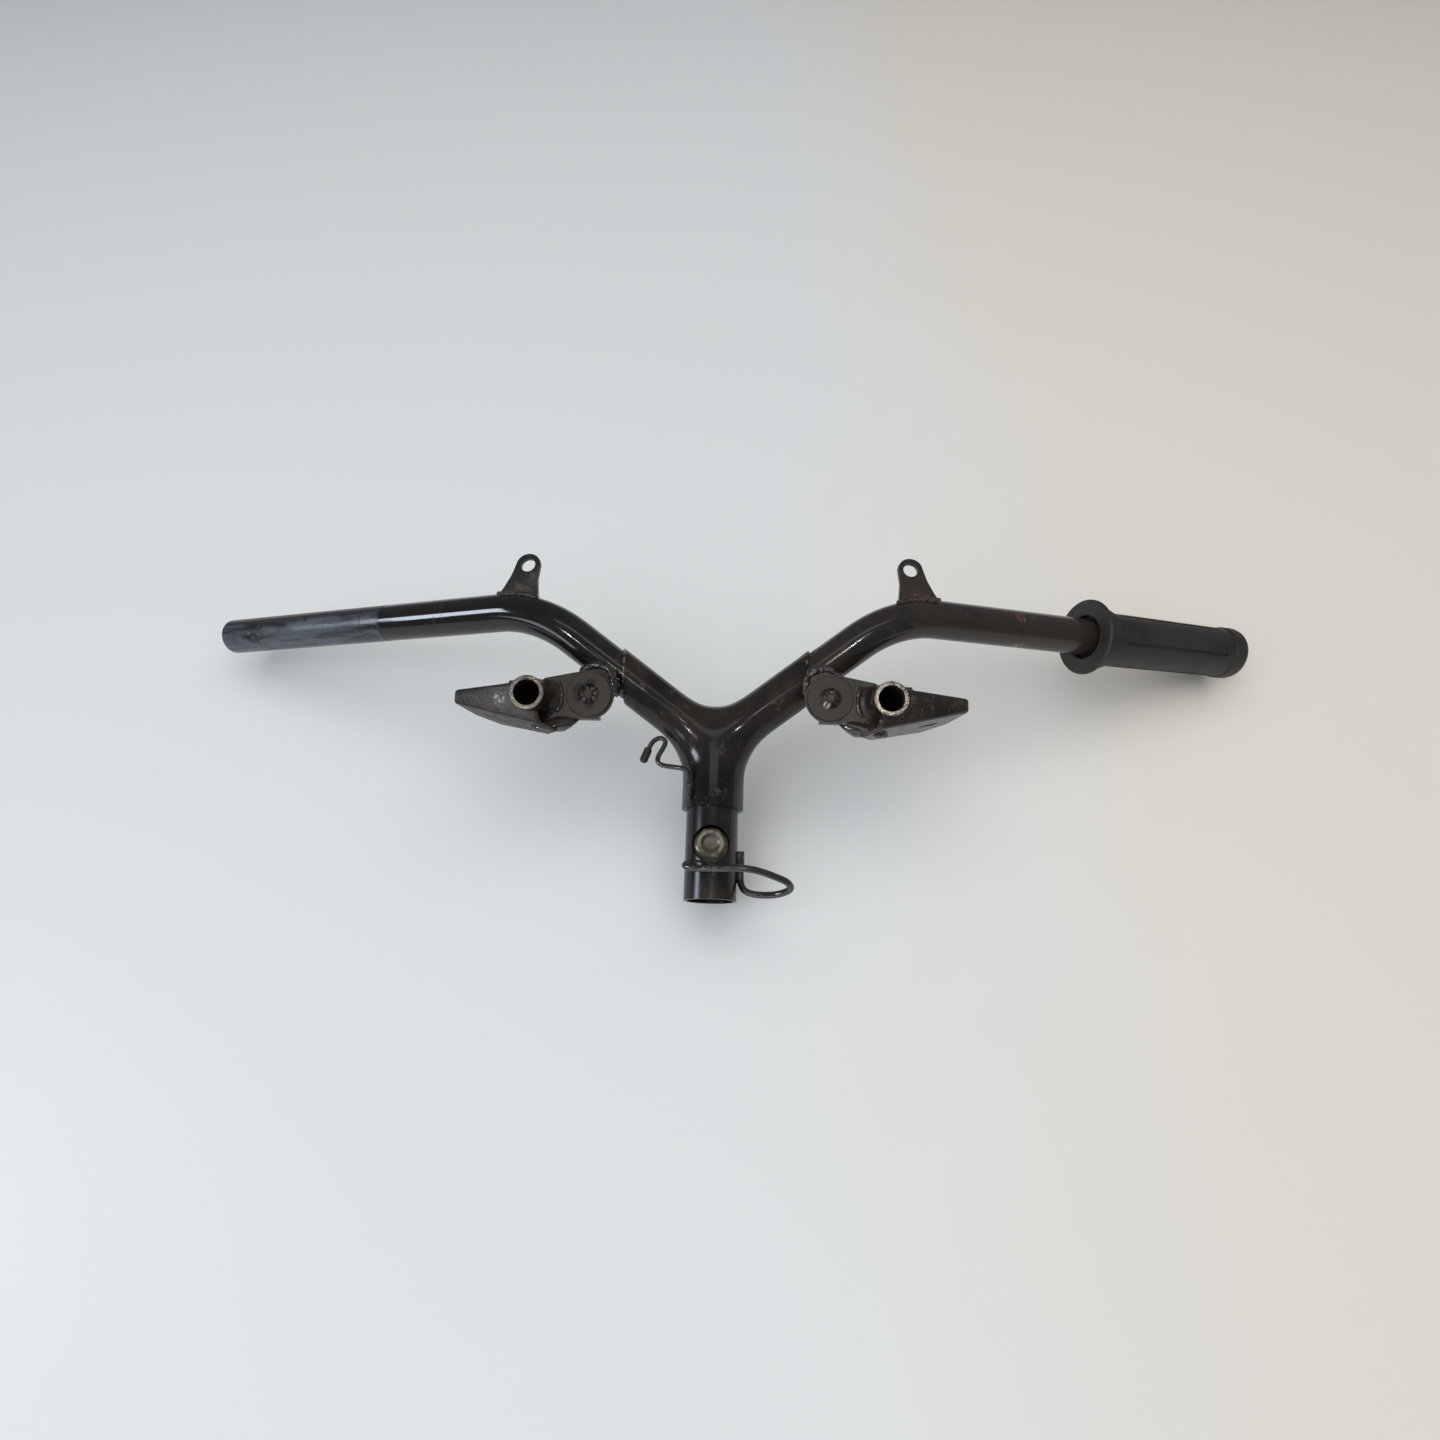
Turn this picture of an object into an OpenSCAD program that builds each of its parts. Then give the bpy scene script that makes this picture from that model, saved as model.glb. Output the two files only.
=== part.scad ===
// Scooter handlebar: two bent bars held in a pressed Y lug on a stem clamp tube, with a cable ring,
// a cable hook, two fairing tabs, two side brackets and one rubber grip.
// Millimetres. Z runs up the stem, X runs along the bars, and Y runs back to the rider.
// The origin is the centre of the stem's open lower mouth.

/* [Bars] */
// Outside diameter of both bar tubes
bar_od = 22.2; // [22:0.1:22.6]
// Wall of the bar tubes
bar_wall = 2; // [1.2:0.1:2.6]
// Bend point of the right bar, out from the stem axis
bend_x = 101.7; // [98:0.1:106]
// Bend point of the bars, in front of the stem axis
bend_ahead = 24; // [16:0.5:30]
// Bend point of the bars, above the stem's mouth
bend_z = 159.4; // [156:0.1:163]
// Sweep of the outer bars towards the rider, in degrees
bar_sweep = 18.8; // [14:0.1:24]
// Rise of the outer bars, in degrees
bar_rise = 3.2; // [0:0.1:6]
// Radius of the bend on the bar's centre line
bend_r = 66; // [50:1:76]
// Length of the outer bar from the bend point to its end
bar_reach = 237.8; // [236:0.1:240]
// Distance from the lug's centre to the inner end of each bar
bar_start = 30; // [26:1:40]

/* [Lug] */
// Height of the lug's centre above the stem's mouth
joint_z = 87; // [85:0.5:89]
// Thickness of the pressed sheet
lug_sheet = 1.5; // [1.2:0.1:1.7]
// Room between the sheet and the tubes inside it
lug_room = 0.15; // [0.1:0.05:0.3]
// Softness of the saddle between the two arms
saddle_blend = 21; // [16:1:28]
// Softness of the fillets between the arms and the stem
fillet_blend = 10; // [7:1:16]
// Share of the softness that is left on the front and rear faces
face_share = 0.3; // [0.2:0.05:0.6]
// Distance from the stem axis to the vertical end of each arm
lug_end_x = 51.5; // [48:0.5:54]
// Length of the tongue on top of each arm's end
tongue = 9; // [4:0.5:12]
// Height of the lug's lower edge above the stem's mouth
lug_bottom = 49.5; // [46:0.5:52]
// Height of the pinched seam lip on both sides of the stem
seam_lip = 1.1; // [0.4:0.1:1.8]

/* [Stem] */
// Outside diameter of the stem clamp tube
stem_od = 28.6; // [28:0.1:29.4]
// Bore of the stem clamp tube, over the fork's tube
stem_bore = 25.4; // [25:0.1:26]
// Length of the stem clamp tube
stem_l = 70; // [64:1:72]
// Height of the clamp bolt above the stem's mouth
bolt_z = 29; // [24:0.5:34]
// Diameter of the access hole in front of the bolt's head
access_d = 20; // [19.4:0.1:21]
// Diameter of the bolt's shank
bolt_d = 10; // [9:0.1:10]
// Width of the bolt's hexagon across the flats
bolt_flats = 14.5; // [14:0.1:15]
// Diameter of the bolt's flange
bolt_flange = 18.8; // [18:0.1:19.2]
// Height of the bolt's hexagon above its flange
bolt_head_h = 6; // [5:0.5:7]
// Distance of the flange's front from the stem axis
bolt_seat = 9; // [8:0.1:9.6]
// Thickness of the nut welded behind the stem
nut_h = 8; // [6:0.5:10]

/* [Cable guides] */
// Diameter of the cable ring's wire
ring_wire = 3.9; // [3.4:0.1:4.2]
// Diameter of the cable hook's wire
hook_wire = 2.9; // [2.6:0.1:3.2]
// Diameter of the rubber cap on the hook
cap_d = 4.6; // [4.2:0.1:5]
// Length of the rubber cap
cap_l = 8.5; // [7:0.5:10]

/* [Fairing tabs] */
// Height of the tab holes above the stem's mouth
tab_hole_z = 189.4; // [188:0.1:191]
// Distance of the tab holes from the stem axis
tab_hole_x = 111.8; // [110:0.1:113]
// Diameter of the tab holes
tab_hole_d = 8.6; // [8:0.1:9]
// Radius of the rounded tab head
tab_head_r = 7.3; // [7:0.1:8]
// Thickness of the tab sheet
tab_sheet = 2.5; // [2:0.1:3]
// Turn of the tabs towards the bars' sweep, in degrees
tab_turn = 6; // [0:1:12]

/* [Side brackets] */
// Distance of the collar tubes from the stem axis
collar_x = 96.1; // [95:0.1:97]
// Sideways shift of both brackets, towards the bare end of the bars
bracket_shift = -2.6; // [-3:0.1:0]
// Front of the collar tubes, ahead of the stem axis
collar_ahead = 43; // [42:0.5:44]
// Height of the collar tubes' front above the stem's mouth
collar_z = 102; // [101:0.5:103]
// Tilt of the collar tubes, rising to the rear, in degrees
collar_tilt = 11.5; // [9:0.5:13]
// Outside diameter of the collar tubes
collar_od = 18.5; // [18:0.1:19]
// Bore of the collar tubes
collar_bore = 14; // [13.4:0.1:14.6]
// Length of the collar tubes
collar_l = 39.5; // [36:0.5:42]
// Widest diameter of the flare behind the collar's rim
flare_d = 32; // [28:1:33]
// Sheet of the outer wedge
wedge_sheet = 1.8; // [1.4:0.1:2]
// Reach of the wedge from the collar's axis to its tip
wedge_reach = 44; // [42:0.5:46]
// Height of the wedge's tip
wedge_tip_h = 8.4; // [7:0.2:10]
// Sheet of the inner link plate
link_sheet = 2; // [1.6:0.1:2.4]
// Distance from the collar's axis to the disc's axis
disc_reach = 30.4; // [29:0.1:32]
// Height of the disc's axis above the collar's axis
disc_up = 1.6; // [1:0.1:2]
// Diameter of the slotted disc
disc_d = 25; // [24:0.1:25.6]
// Sheet of the slotted disc
disc_sheet = 1.5; // [1.2:0.1:1.8]
// Diameter of the pin under the slotted disc
pin_d = 5.5; // [5:0.1:6]
// Slots in the disc
disc_slots = 8; // [6:1:10]
// Diameter of the boss behind the link plate
boss_d = 19; // [17:0.5:20]

/* [Grip] */
// Rubber past the bar's end
grip_end_t = 9.2; // [7:0.1:11]
// Length of the grip
grip_l = 117; // [116:0.5:119]
// Diameter of the grip's flange
grip_flange_d = 46; // [44:0.5:48]
// Thickness of the grip's flange
grip_flange_t = 3; // [2.4:0.1:4]
// Diameter of the ring behind the flange
grip_neck_d = 37; // [35:0.5:38]
// Diameter of the grip at its inner end
grip_d = 33; // [32:0.1:33.4]
// Diameter of the grip near its outer end
grip_tip_d = 31.4; // [30.6:0.1:32]
// Grooves along the grip
grip_grooves = 5; // [4:1:8]

/* [Hidden] */

$fn = 64;
paint = [0.10, 0.10, 0.11];
rust = [0.30, 0.20, 0.15];
zinc = [0.66, 0.62, 0.54];
rubber = [0.13, 0.12, 0.12];

bar_r = bar_od / 2;
stem_r = stem_od / 2;
arm_shell_r = bar_r + lug_room + lug_sheet;
stem_shell_r = stem_r + lug_room + lug_sheet;
joint = [0, 0, joint_z];
// Room between pieces that touch or are welded together
fit_gap = 0.1;
bend_point = [bend_x, -bend_ahead, bend_z];
arm_length = norm(bend_point - joint);

function unit(v) = v / norm(v);
function mirror_x(v) = [-v.x, v.y, v.z];
function ease(t) = let (c = max(0, min(1, t))) c * c * (3 - 2 * c);

arm_dir = unit(bend_point - joint);
outer_dir = [cos(bar_rise) * cos(bar_sweep), cos(bar_rise) * sin(bar_sweep), sin(bar_rise)];
bend_angle = acos(arm_dir * outer_dir);
bend_cut = bend_r * tan(bend_angle / 2);
bend_normal = unit(cross(arm_dir, outer_dir));

// Puts children in a frame with the given origin, X and Z directions.
module in_frame(origin, x_dir, z_dir) {
    y_dir = cross(z_dir, x_dir);
    multmatrix([
        [x_dir.x, y_dir.x, z_dir.x, origin.x],
        [x_dir.y, y_dir.y, z_dir.y, origin.y],
        [x_dir.z, y_dir.z, z_dir.z, origin.z],
        [0, 0, 0, 1]
    ])
        children();
}

module ring_section(outer, inner) {
    difference() {
        circle(r = outer);
        if (inner > 0) circle(r = inner);
    }
}

// One bar along its bent centre line, from its inner end to its outer end. The bend reaches a little
// into both straight runs, inside their wall.
bend_over = 1;
bend_step = 0.03;
module bar_run(outer, inner, start, reach) {
    bend_start = bend_point - bend_cut * arm_dir;
    bend_centre = bend_start + bend_r * cross(bend_normal, arm_dir);
    arm_side = cross(arm_dir, bend_normal);
    in_frame(joint + start * arm_dir, arm_side, arm_dir)
        linear_extrude(arm_length - bend_cut - start)
            ring_section(outer, inner);
    in_frame(bend_centre, arm_side, bend_normal)
        rotate([0, 0, -bend_over])
            rotate_extrude(angle = bend_angle + 2 * bend_over)
                translate([bend_r, 0])
                    ring_section(outer - bend_step, inner > 0 ? inner + bend_step : 0);
    in_frame(bend_point + bend_cut * outer_dir, cross(outer_dir, bend_normal), outer_dir)
        linear_extrude(reach - bend_cut)
            ring_section(outer, inner);
}

module right_bar_tube() {
    color(paint) bar_run(bar_r, bar_r - bar_wall, bar_start, bar_reach);
}

module left_bar_tube() {
    color(paint) mirror([1, 0, 0]) bar_run(bar_r, bar_r - bar_wall, bar_start, bar_reach);
}

// Lug: each shell is a grid of rays sent out from three branch axes until they meet a soft
// union of three round branches. The grids share their first rows on the planes between branches.
grid_rows = 13;
grid_half = 9;
grid_cols = 2 * grid_half;
row_turn = 26;
ray_far = 44;
ray_steps = 13;
branch_dirs = [arm_dir, mirror_x(arm_dir), [0, 0, -1]];
pole_dir = unit(cross(branch_dirs[0] - branch_dirs[1], branch_dirs[0] - branch_dirs[2]));
plane_pairs = [[0, 1], [0, 2], [1, 2]];
branch_planes = [[0, 1], [0, 2], [1, 2]];
shared_count = 3 * grid_half + 1;
layer_count = shared_count + 3 * grid_rows * (grid_cols + 1);

function off_axis(q, d) = norm(q - max(0, q * d) * d);
function soft_min(a, b, k) = let (h = max(k - abs(a - b), 0) / k) min(a, b) - h * h * k / 4;
function lip_at(q) =
    let (flat = norm([q.x, q.y]), share = flat > 0 ? pow(abs(q.x) / flat, 60) : 0)
    seam_lip * share * ease((-q.z - 6) / 14);
function lug_field(p, lip) =
    let (
        q = p - joint,
        w = pow((q * pole_dir) / max(norm(q), 0.01), 2),
        k = 1 - (1 - face_share) * w,
        right = off_axis(q, branch_dirs[0]),
        left = off_axis(q, branch_dirs[1]),
        stem = off_axis(q, branch_dirs[2]),
        arms = soft_min(right, left, saddle_blend * k) - arm_shell_r
    )
    soft_min(arms, stem - stem_shell_r - lip * lip_at(q), fillet_blend * k);
function ray_hit(o, e, level, lip, near, far, steps) =
    let (mid = (near + far) / 2)
    steps == 0 ? o + mid * e
        : lug_field(o + mid * e, lip) < level
            ? ray_hit(o, e, level, lip, mid, far, steps - 1)
            : ray_hit(o, e, level, lip, near, mid, steps - 1);

function plane_dir(plane) =
    let (
        sum = branch_dirs[plane_pairs[plane][0]] + branch_dirs[plane_pairs[plane][1]],
        flat = sum - (sum * pole_dir) * pole_dir
    )
    unit(flat);
function inner_ray(branch, col, side) =
    let (
        a = 180 * col / grid_cols,
        plane = branch_planes[branch][col <= grid_half ? 0 : 1]
    )
    abs(cos(a)) * plane_dir(plane) + side * sin(a) * pole_dir;
function outer_ray(branch, col, side) =
    let (
        a = 180 * col / grid_cols,
        d = branch_dirs[branch],
        up = unit(pole_dir - (pole_dir * d) * d),
        first = plane_dir(branch_planes[branch][0]),
        across = unit(first - (first * d) * d - (first * up) * up)
    )
    cos(a) * across + side * sin(a) * up;
function end_at(branch, ray) =
    branch == 2 ? joint_z - lug_bottom
        : let (
            d = branch_dirs[branch],
            reach = (lug_end_x - arm_shell_r * abs(ray.x) * sign(ray.x * d.x)) / abs(d.x),
            top = max(0, ray.z)
        )
        reach + tongue * pow(top, 8);
function lug_point(branch, row, col, side, level, lip) =
    let (
        ray = outer_ray(branch, col, side),
        along = end_at(branch, ray) * row / grid_rows,
        turn = ease(along / row_turn),
        e = unit((1 - turn) * inner_ray(branch, col, side) + turn * ray),
        o = joint + along * branch_dirs[branch]
    )
    ray_hit(o, e, level, lip, 0, ray_far, ray_steps);
function layer_points(side, level, lip) = [
    for (plane = [0:2])
        for (k = [0:grid_half - 1])
            let (
                a = 90 * k / grid_half,
                e = cos(a) * plane_dir(plane) + side * sin(a) * pole_dir
            )
            ray_hit(joint, e, level, lip, 0, ray_far, ray_steps),
    ray_hit(joint, side * pole_dir, level, lip, 0, ray_far, ray_steps),
    for (branch = [0:2])
        for (row = [1:grid_rows])
            for (col = [0:grid_cols])
                lug_point(branch, row, col, side, level, lip)
];
function shared_id(branch, col) =
    let (
        k = col <= grid_half ? col : grid_cols - col,
        plane = branch_planes[branch][col <= grid_half ? 0 : 1]
    )
    k == grid_half ? 3 * grid_half : plane * grid_half + k;
function point_id(layer, branch, row, col) =
    layer * layer_count
    + (row == 0 ? shared_id(branch, col)
        : shared_count + (branch * grid_rows + row - 1) * (grid_cols + 1) + col);
function flipped(face, flip) = flip ? [for (i = [len(face) - 1:-1:0]) face[i]] : face;
function quad(a, b, c, d, flip) = [flipped([a, b, c], flip), flipped([a, c, d], flip)];

module lug_shell(side) {
    points = concat(layer_points(side, 0, 1), layer_points(side, -lug_sheet, 0));
    faces = [
        for (branch = [0:2])
            let (turned = (branch == 1) != (side < 0))
            for (row = [0:grid_rows - 1])
                for (layer = [0:1])
                    for (col = [0:grid_cols - 1])
                        each quad(
                            point_id(layer, branch, row, col),
                            point_id(layer, branch, row + 1, col),
                            point_id(layer, branch, row + 1, col + 1),
                            point_id(layer, branch, row, col + 1),
                            turned != (layer == 1)
                        ),
        for (branch = [0:2])
            let (turned = (branch == 1) != (side < 0))
            for (row = [0:grid_rows - 1])
                for (col = [0, grid_cols])
                    each quad(
                        point_id(0, branch, row, col),
                        point_id(1, branch, row, col),
                        point_id(1, branch, row + 1, col),
                        point_id(0, branch, row + 1, col),
                        turned != (col > 0)
                    ),
        for (branch = [0:2])
            let (turned = (branch == 1) != (side < 0))
            for (col = [0:grid_cols - 1])
                each quad(
                    point_id(0, branch, grid_rows, col),
                    point_id(1, branch, grid_rows, col),
                    point_id(1, branch, grid_rows, col + 1),
                    point_id(0, branch, grid_rows, col + 1),
                    turned
                )
    ];
    polyhedron(points, faces, convexity = 8);
}

module lug_front_shell() {
    color(paint) lug_shell(1);
}

module lug_rear_shell() {
    color(paint) lug_shell(-1);
}

// Stem clamp tube with its access hole in front and the bolt's hole behind.
bolt_hole_d = bolt_d + 4 * fit_gap;
module stem_tube() {
    color(paint)
        difference() {
            cylinder(r = stem_r, h = stem_l);
            translate([0, 0, -1]) cylinder(d = stem_bore, h = stem_l + 2);
            translate([0, 0, bolt_z]) rotate([90, 0, 0]) cylinder(d = access_d, h = stem_od);
            translate([0, 0, bolt_z]) rotate([-90, 0, 0]) cylinder(d = bolt_hole_d, h = stem_od);
        }
}

// Flange bolt: dished hexagon head, round flange and shank.
flange_t = 1.8;
dish_r = 5.2;
module stem_bolt() {
    head_front = bolt_seat + bolt_head_h;
    shank_l = bolt_seat - flange_t + stem_r + nut_h + 2;
    color(zinc)
        translate([0, 0, bolt_z])
            rotate([90, 0, 0])
                difference() {
                    union() {
                        intersection() {
                            translate([0, 0, bolt_seat - flange_t])
                                cylinder(
                                    d = bolt_flats / cos(30),
                                    h = bolt_head_h + flange_t,
                                    $fn = 6
                                );
                            rotate_extrude()
                                polygon([
                                    [0, 0],
                                    [bolt_flats / 2 + 2, 0],
                                    [bolt_flats / 2 + 2, head_front - 1.8],
                                    [bolt_flats / 2 - 0.4, head_front],
                                    [0, head_front]
                                ]);
                        }
                        rotate_extrude()
                            polygon([
                                [0, bolt_seat - flange_t],
                                [bolt_flange / 2, bolt_seat - flange_t],
                                [bolt_flange / 2, bolt_seat - 0.6],
                                [bolt_flats / 2, bolt_seat + 0.5],
                                [0, bolt_seat + 0.5]
                            ]);
                        translate([0, 0, bolt_seat - flange_t - shank_l])
                            cylinder(d = bolt_d, h = shank_l);
                    }
                    rotate_extrude()
                        polygon([
                            [0, head_front - 1.2],
                            [dish_r - 1.6, head_front - 1.1],
                            [dish_r, head_front + 0.01],
                            [dish_r, head_front + 1],
                            [0, head_front + 1]
                        ]);
                }
}

module stem_nut() {
    color(zinc)
        translate([0, 0, bolt_z])
            rotate([-90, 0, 0])
                difference() {
                    translate([0, 0, stem_r - 1.4])
                        cylinder(d = (bolt_flats + 1.5) / cos(30), h = nut_h + 1.4, $fn = 6);
                    cylinder(d = bolt_d + fit_gap, h = stem_r + nut_h + 1);
                    translate([0, -stem_od, 0])
                        rotate([-90, 0, 0])
                            cylinder(r = stem_r, h = 2 * stem_od);
                }
}

// Bent wire: a round section carried along a soft path through its bend points.
wire_sides = 12;
path_steps = 4;
function soft_point(p, i, t) =
    let (
        n = len(p) - 1,
        a = p[max(i - 1, 0)],
        b = p[i],
        c = p[min(i + 1, n)],
        d = p[min(i + 2, n)]
    )
    0.5 * (2 * b + (c - a) * t + (2 * a - 5 * b + 4 * c - d) * t * t
        + (3 * b - a - 3 * c + d) * t * t * t);
function soft_path(p) = [
    for (i = [0:len(p) - 2])
        for (k = [0:path_steps - 1])
            soft_point(p, i, k / path_steps),
    p[len(p) - 1]
];
function path_dir(p, i) = unit(p[min(i + 1, len(p) - 1)] - p[max(i - 1, 0)]);
function next_side(p, i, old) = let (t = path_dir(p, i)) unit(old - (old * t) * t);
function path_sides(p, i, side) =
    i >= len(p) ? []
        : let (now = next_side(p, i, side)) concat([now], path_sides(p, i + 1, now));

module wire(bends, d, first_side) {
    path = soft_path(bends);
    sides = path_sides(path, 0, first_side);
    count = len(path);
    points = [
        for (i = [0:count - 1])
            let (t = path_dir(path, i), u = sides[i], v = cross(t, u))
            for (k = [0:wire_sides - 1])
                let (a = 360 * k / wire_sides)
                path[i] + d / 2 * (cos(a) * u + sin(a) * v)
    ];
    faces = [
        for (i = [0:count - 2])
            for (k = [0:wire_sides - 1])
                let (n = (k + 1) % wire_sides)
                each [
                    [i * wire_sides + k, (i + 1) * wire_sides + k, (i + 1) * wire_sides + n],
                    [i * wire_sides + k, (i + 1) * wire_sides + n, i * wire_sides + n]
                ],
        [for (k = [0:wire_sides - 1]) k],
        [for (k = [wire_sides - 1:-1:0]) (count - 1) * wire_sides + k]
    ];
    polyhedron(points, faces, convexity = 8);
}

// Cable ring: its leg is welded to the stem's right side and the rod curls round in front.
ring_leg_x = stem_r + ring_wire / 2 + fit_gap;
ring_bends = [
    [ring_leg_x, 0, 27],
    [ring_leg_x, 0, 19],
    [ring_leg_x + 0.1, -1, 10],
    [ring_leg_x + 3.4, -3, 5],
    [28, -5, 3.4],
    [36.5, -8, 3.8],
    [42.4, -13.5, 5.9],
    [40.6, -18.6, 8.7],
    [34.4, -21.6, 11],
    [25.4, -24, 13.6],
    [16.4, -25.2, 14.7],
    [6, -25, 14.3],
    [-5, -23.8, 14.4],
    [-11.3, -21.8, 15.2],
    [-12.7, -19.6, 16.6],
    [-9.5, -18, 17.8],
    [-4, -17.2, 17.4]
];
module cable_ring() {
    color(paint)
        difference() {
            union() {
                wire(ring_bends, ring_wire, [1, 0, 0]);
                ring_weld();
            }
            translate([0, 0, -1]) cylinder(r = stem_r, h = stem_l);
        }
}

ring_weld_low = 12;
ring_weld_top = 25;
ring_weld_r = 2.3;
module ring_weld() {
    hull()
        for (z = [ring_weld_low, ring_weld_top])
            translate([stem_r + 0.9, 0, z])
                sphere(r = ring_weld_r, $fn = 20);
}

// Cable hook: welded beside the lug's collar, with a rubber cap on its free end.
hook_foot_r = stem_shell_r + hook_wire / 2 + fit_gap;
hook_foot_turn = 47;
hook_foot = [-hook_foot_r * sin(hook_foot_turn), -hook_foot_r * cos(hook_foot_turn), 0];
hook_foot_top = 65.5;
hook_foot_low = 55.5;
hook_bends = [
    [-38.3, -8, 77.6],
    [-36.6, -8, 82.2],
    [-33.9, -8, 86.9],
    [-30.1, -8, 88.7],
    [-27.3, -8, 86.7],
    [-28.3, -8.2, 83],
    [-30.6, -8.4, 78.4],
    [-31, -8.8, 75],
    [-28.4, -9.6, 72.6],
    [-21.2, -11.6, 71],
    [-15.6, -13.6, 69.4],
    hook_foot + [0, 0, hook_foot_top],
    hook_foot + [0, 0, hook_foot_low]
];
module cable_hook() {
    color(paint)
        difference() {
            union() {
                wire(hook_bends, hook_wire, [0, -1, 0]);
                hook_weld();
            }
            translate([0, 0, hook_foot_low - hook_wire])
                cylinder(r = stem_shell_r + fit_gap / 2, h = hook_foot_top - hook_foot_low + 2 * hook_wire);
        }
}

hook_weld_r = 2.1;
module hook_weld() {
    hull()
        for (z = [hook_foot_low + 1, hook_foot_top - 5])
            translate([hook_foot.x * 0.95, hook_foot.y * 0.95, z])
                sphere(r = hook_weld_r, $fn = 20);
}

cap_over = 5;
module hook_cap() {
    tip = hook_bends[0];
    out = unit(tip - hook_bends[1]);
    color(rubber)
        in_frame(tip - cap_over * out, unit(cross(out, [0, 1, 0])), out)
            difference() {
                rotate_extrude()
                    polygon([
                        [0, 0],
                        [cap_d / 2 - 0.3, 0],
                        [cap_d / 2, 0.6],
                        [cap_d / 2, cap_l - 1.2],
                        [cap_d / 2 - 0.5, cap_l - 0.4],
                        [cap_d / 2 - 1.2, cap_l],
                        [0, cap_l]
                    ]);
                translate([0, 0, -1]) cylinder(d = hook_wire + 0.1, h = cap_over + 1.05);
            }
}

// Fairing tabs: a flat ear with a round hole, standing on the bar's bend with a weld round its foot.
tab_y = -bend_ahead + 3.5;
tab_foot_z = 160;
weld_r = 1.5;
tab_foot_out = 15.2;
tab_weld_x = 4;
tab_weld_w = 24;
module bar_body(grow) {
    bar_run(bar_r + grow, 0, 2 * bar_start, bar_reach / 2);
}

// Room for a control that slides along the straight of the bar up to its bend.
control_wall = 4;
module control_room() {
    in_frame(bend_point, unit(cross(outer_dir, [0, 0, 1])), outer_dir)
        translate([0, 0, bend_cut - fit_gap])
            cylinder(r = bar_r + control_wall, h = grip_l);
}

module tab_sheet_shape() {
    translate([tab_hole_x, tab_hole_z]) circle(r = tab_head_r);
    polygon([
        [tab_hole_x - tab_head_r, tab_hole_z],
        [tab_hole_x - tab_head_r + 0.8, tab_hole_z - 9],
        [tab_hole_x - tab_head_r - 0.3, tab_hole_z - 19],
        [tab_hole_x - tab_head_r - 0.3, tab_foot_z],
        [tab_hole_x + tab_foot_out, tab_foot_z],
        [tab_hole_x + tab_foot_out, tab_hole_z - 17.5],
        [tab_hole_x + 13.2, tab_hole_z - 14.2],
        [tab_hole_x + 9.5, tab_hole_z - 6.5],
        [tab_hole_x + tab_head_r - 0.6, tab_hole_z + 2.6]
    ]);
}

module at_tab() {
    translate([tab_hole_x, tab_y, 0])
        rotate([0, 0, tab_turn])
            translate([-tab_hole_x, 0, 0])
                children();
}

module right_tab_solid() {
    difference() {
        union() {
            at_tab()
                translate([0, tab_sheet / 2, 0])
                    rotate([90, 0, 0])
                        linear_extrude(tab_sheet)
                            tab_sheet_shape();
            intersection() {
                bar_body(weld_r);
                at_tab()
                    translate([tab_hole_x + tab_weld_x, 0, tab_foot_z + 4])
                        linear_extrude(16)
                            square([tab_weld_w, tab_sheet + 5], center = true);
            }
        }
        bar_body(0);
        control_room();
        at_tab()
            translate([tab_hole_x, tab_sheet, tab_hole_z])
                rotate([90, 0, 0])
                    cylinder(d = tab_hole_d, h = 2 * tab_sheet);
    }
}

module right_tab() {
    color(paint) right_tab_solid();
}

module left_tab() {
    color(paint) mirror([1, 0, 0]) right_tab_solid();
}

// Side brackets are drawn for the right side in the collar's own frame:
// X runs outboard, Y runs back along the collar's bore and Z runs up.
module at_right_bracket() {
    translate([collar_x + bracket_shift, -collar_ahead, collar_z])
        rotate([collar_tilt, 0, 0])
            children();
}

module at_left_bracket() {
    mirror([1, 0, 0])
        translate([collar_x - bracket_shift, -collar_ahead, collar_z])
            rotate([collar_tilt, 0, 0])
                children();
}

collar_front = -1.5;
collar_floor = 2;
flare_front = 3;
flare_back = 14.2;
flare_steps = 8;
flare_top = 8.6;
flare_low = 13;
module flare(grow) {
    flare_r = flare_d / 2 - collar_od / 2;
    intersection() {
        rotate([-90, 0, 0])
            rotate_extrude()
                polygon(concat(
                    [[collar_bore / 2 + 1, flare_front - grow]],
                    [
                        for (i = [1:flare_steps])
                            let (a = 90 * i / flare_steps)
                            [
                                collar_od / 2 + grow + flare_r * (1 - cos(a)),
                                flare_front + (flare_back - flare_front) * sin(a) - grow
                            ]
                    ],
                    [
                        [flare_d / 2 + grow, flare_back],
                        [collar_bore / 2 + 1, flare_back]
                    ]
                ));
        translate([-flare_d, 0, -flare_low - grow])
            cube([2 * flare_d, collar_l, flare_low + flare_top + 2 * grow]);
    }
}

module collar_solid() {
    difference() {
        union() {
            rotate([-90, 0, 0])
                rotate_extrude()
                    polygon([
                        [0, collar_front],
                        [collar_od / 2 - 0.5, collar_front],
                        [collar_od / 2, collar_front + 0.5],
                        [collar_od / 2, collar_front + collar_l - 1],
                        [collar_od / 2 - 1, collar_front + collar_l],
                        [0, collar_front + collar_l]
                    ]);
            flare(0);
        }
        translate([0, collar_front - 1, 0])
            rotate([-90, 0, 0])
                cylinder(d = collar_bore, h = collar_l - collar_floor + 1);
    }
}

module collar_clearance() {
    translate([0, collar_front - 1, 0])
        rotate([-90, 0, 0])
            cylinder(d = collar_od + 2 * fit_gap, h = collar_l + 2);
    flare(fit_gap);
}

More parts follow.
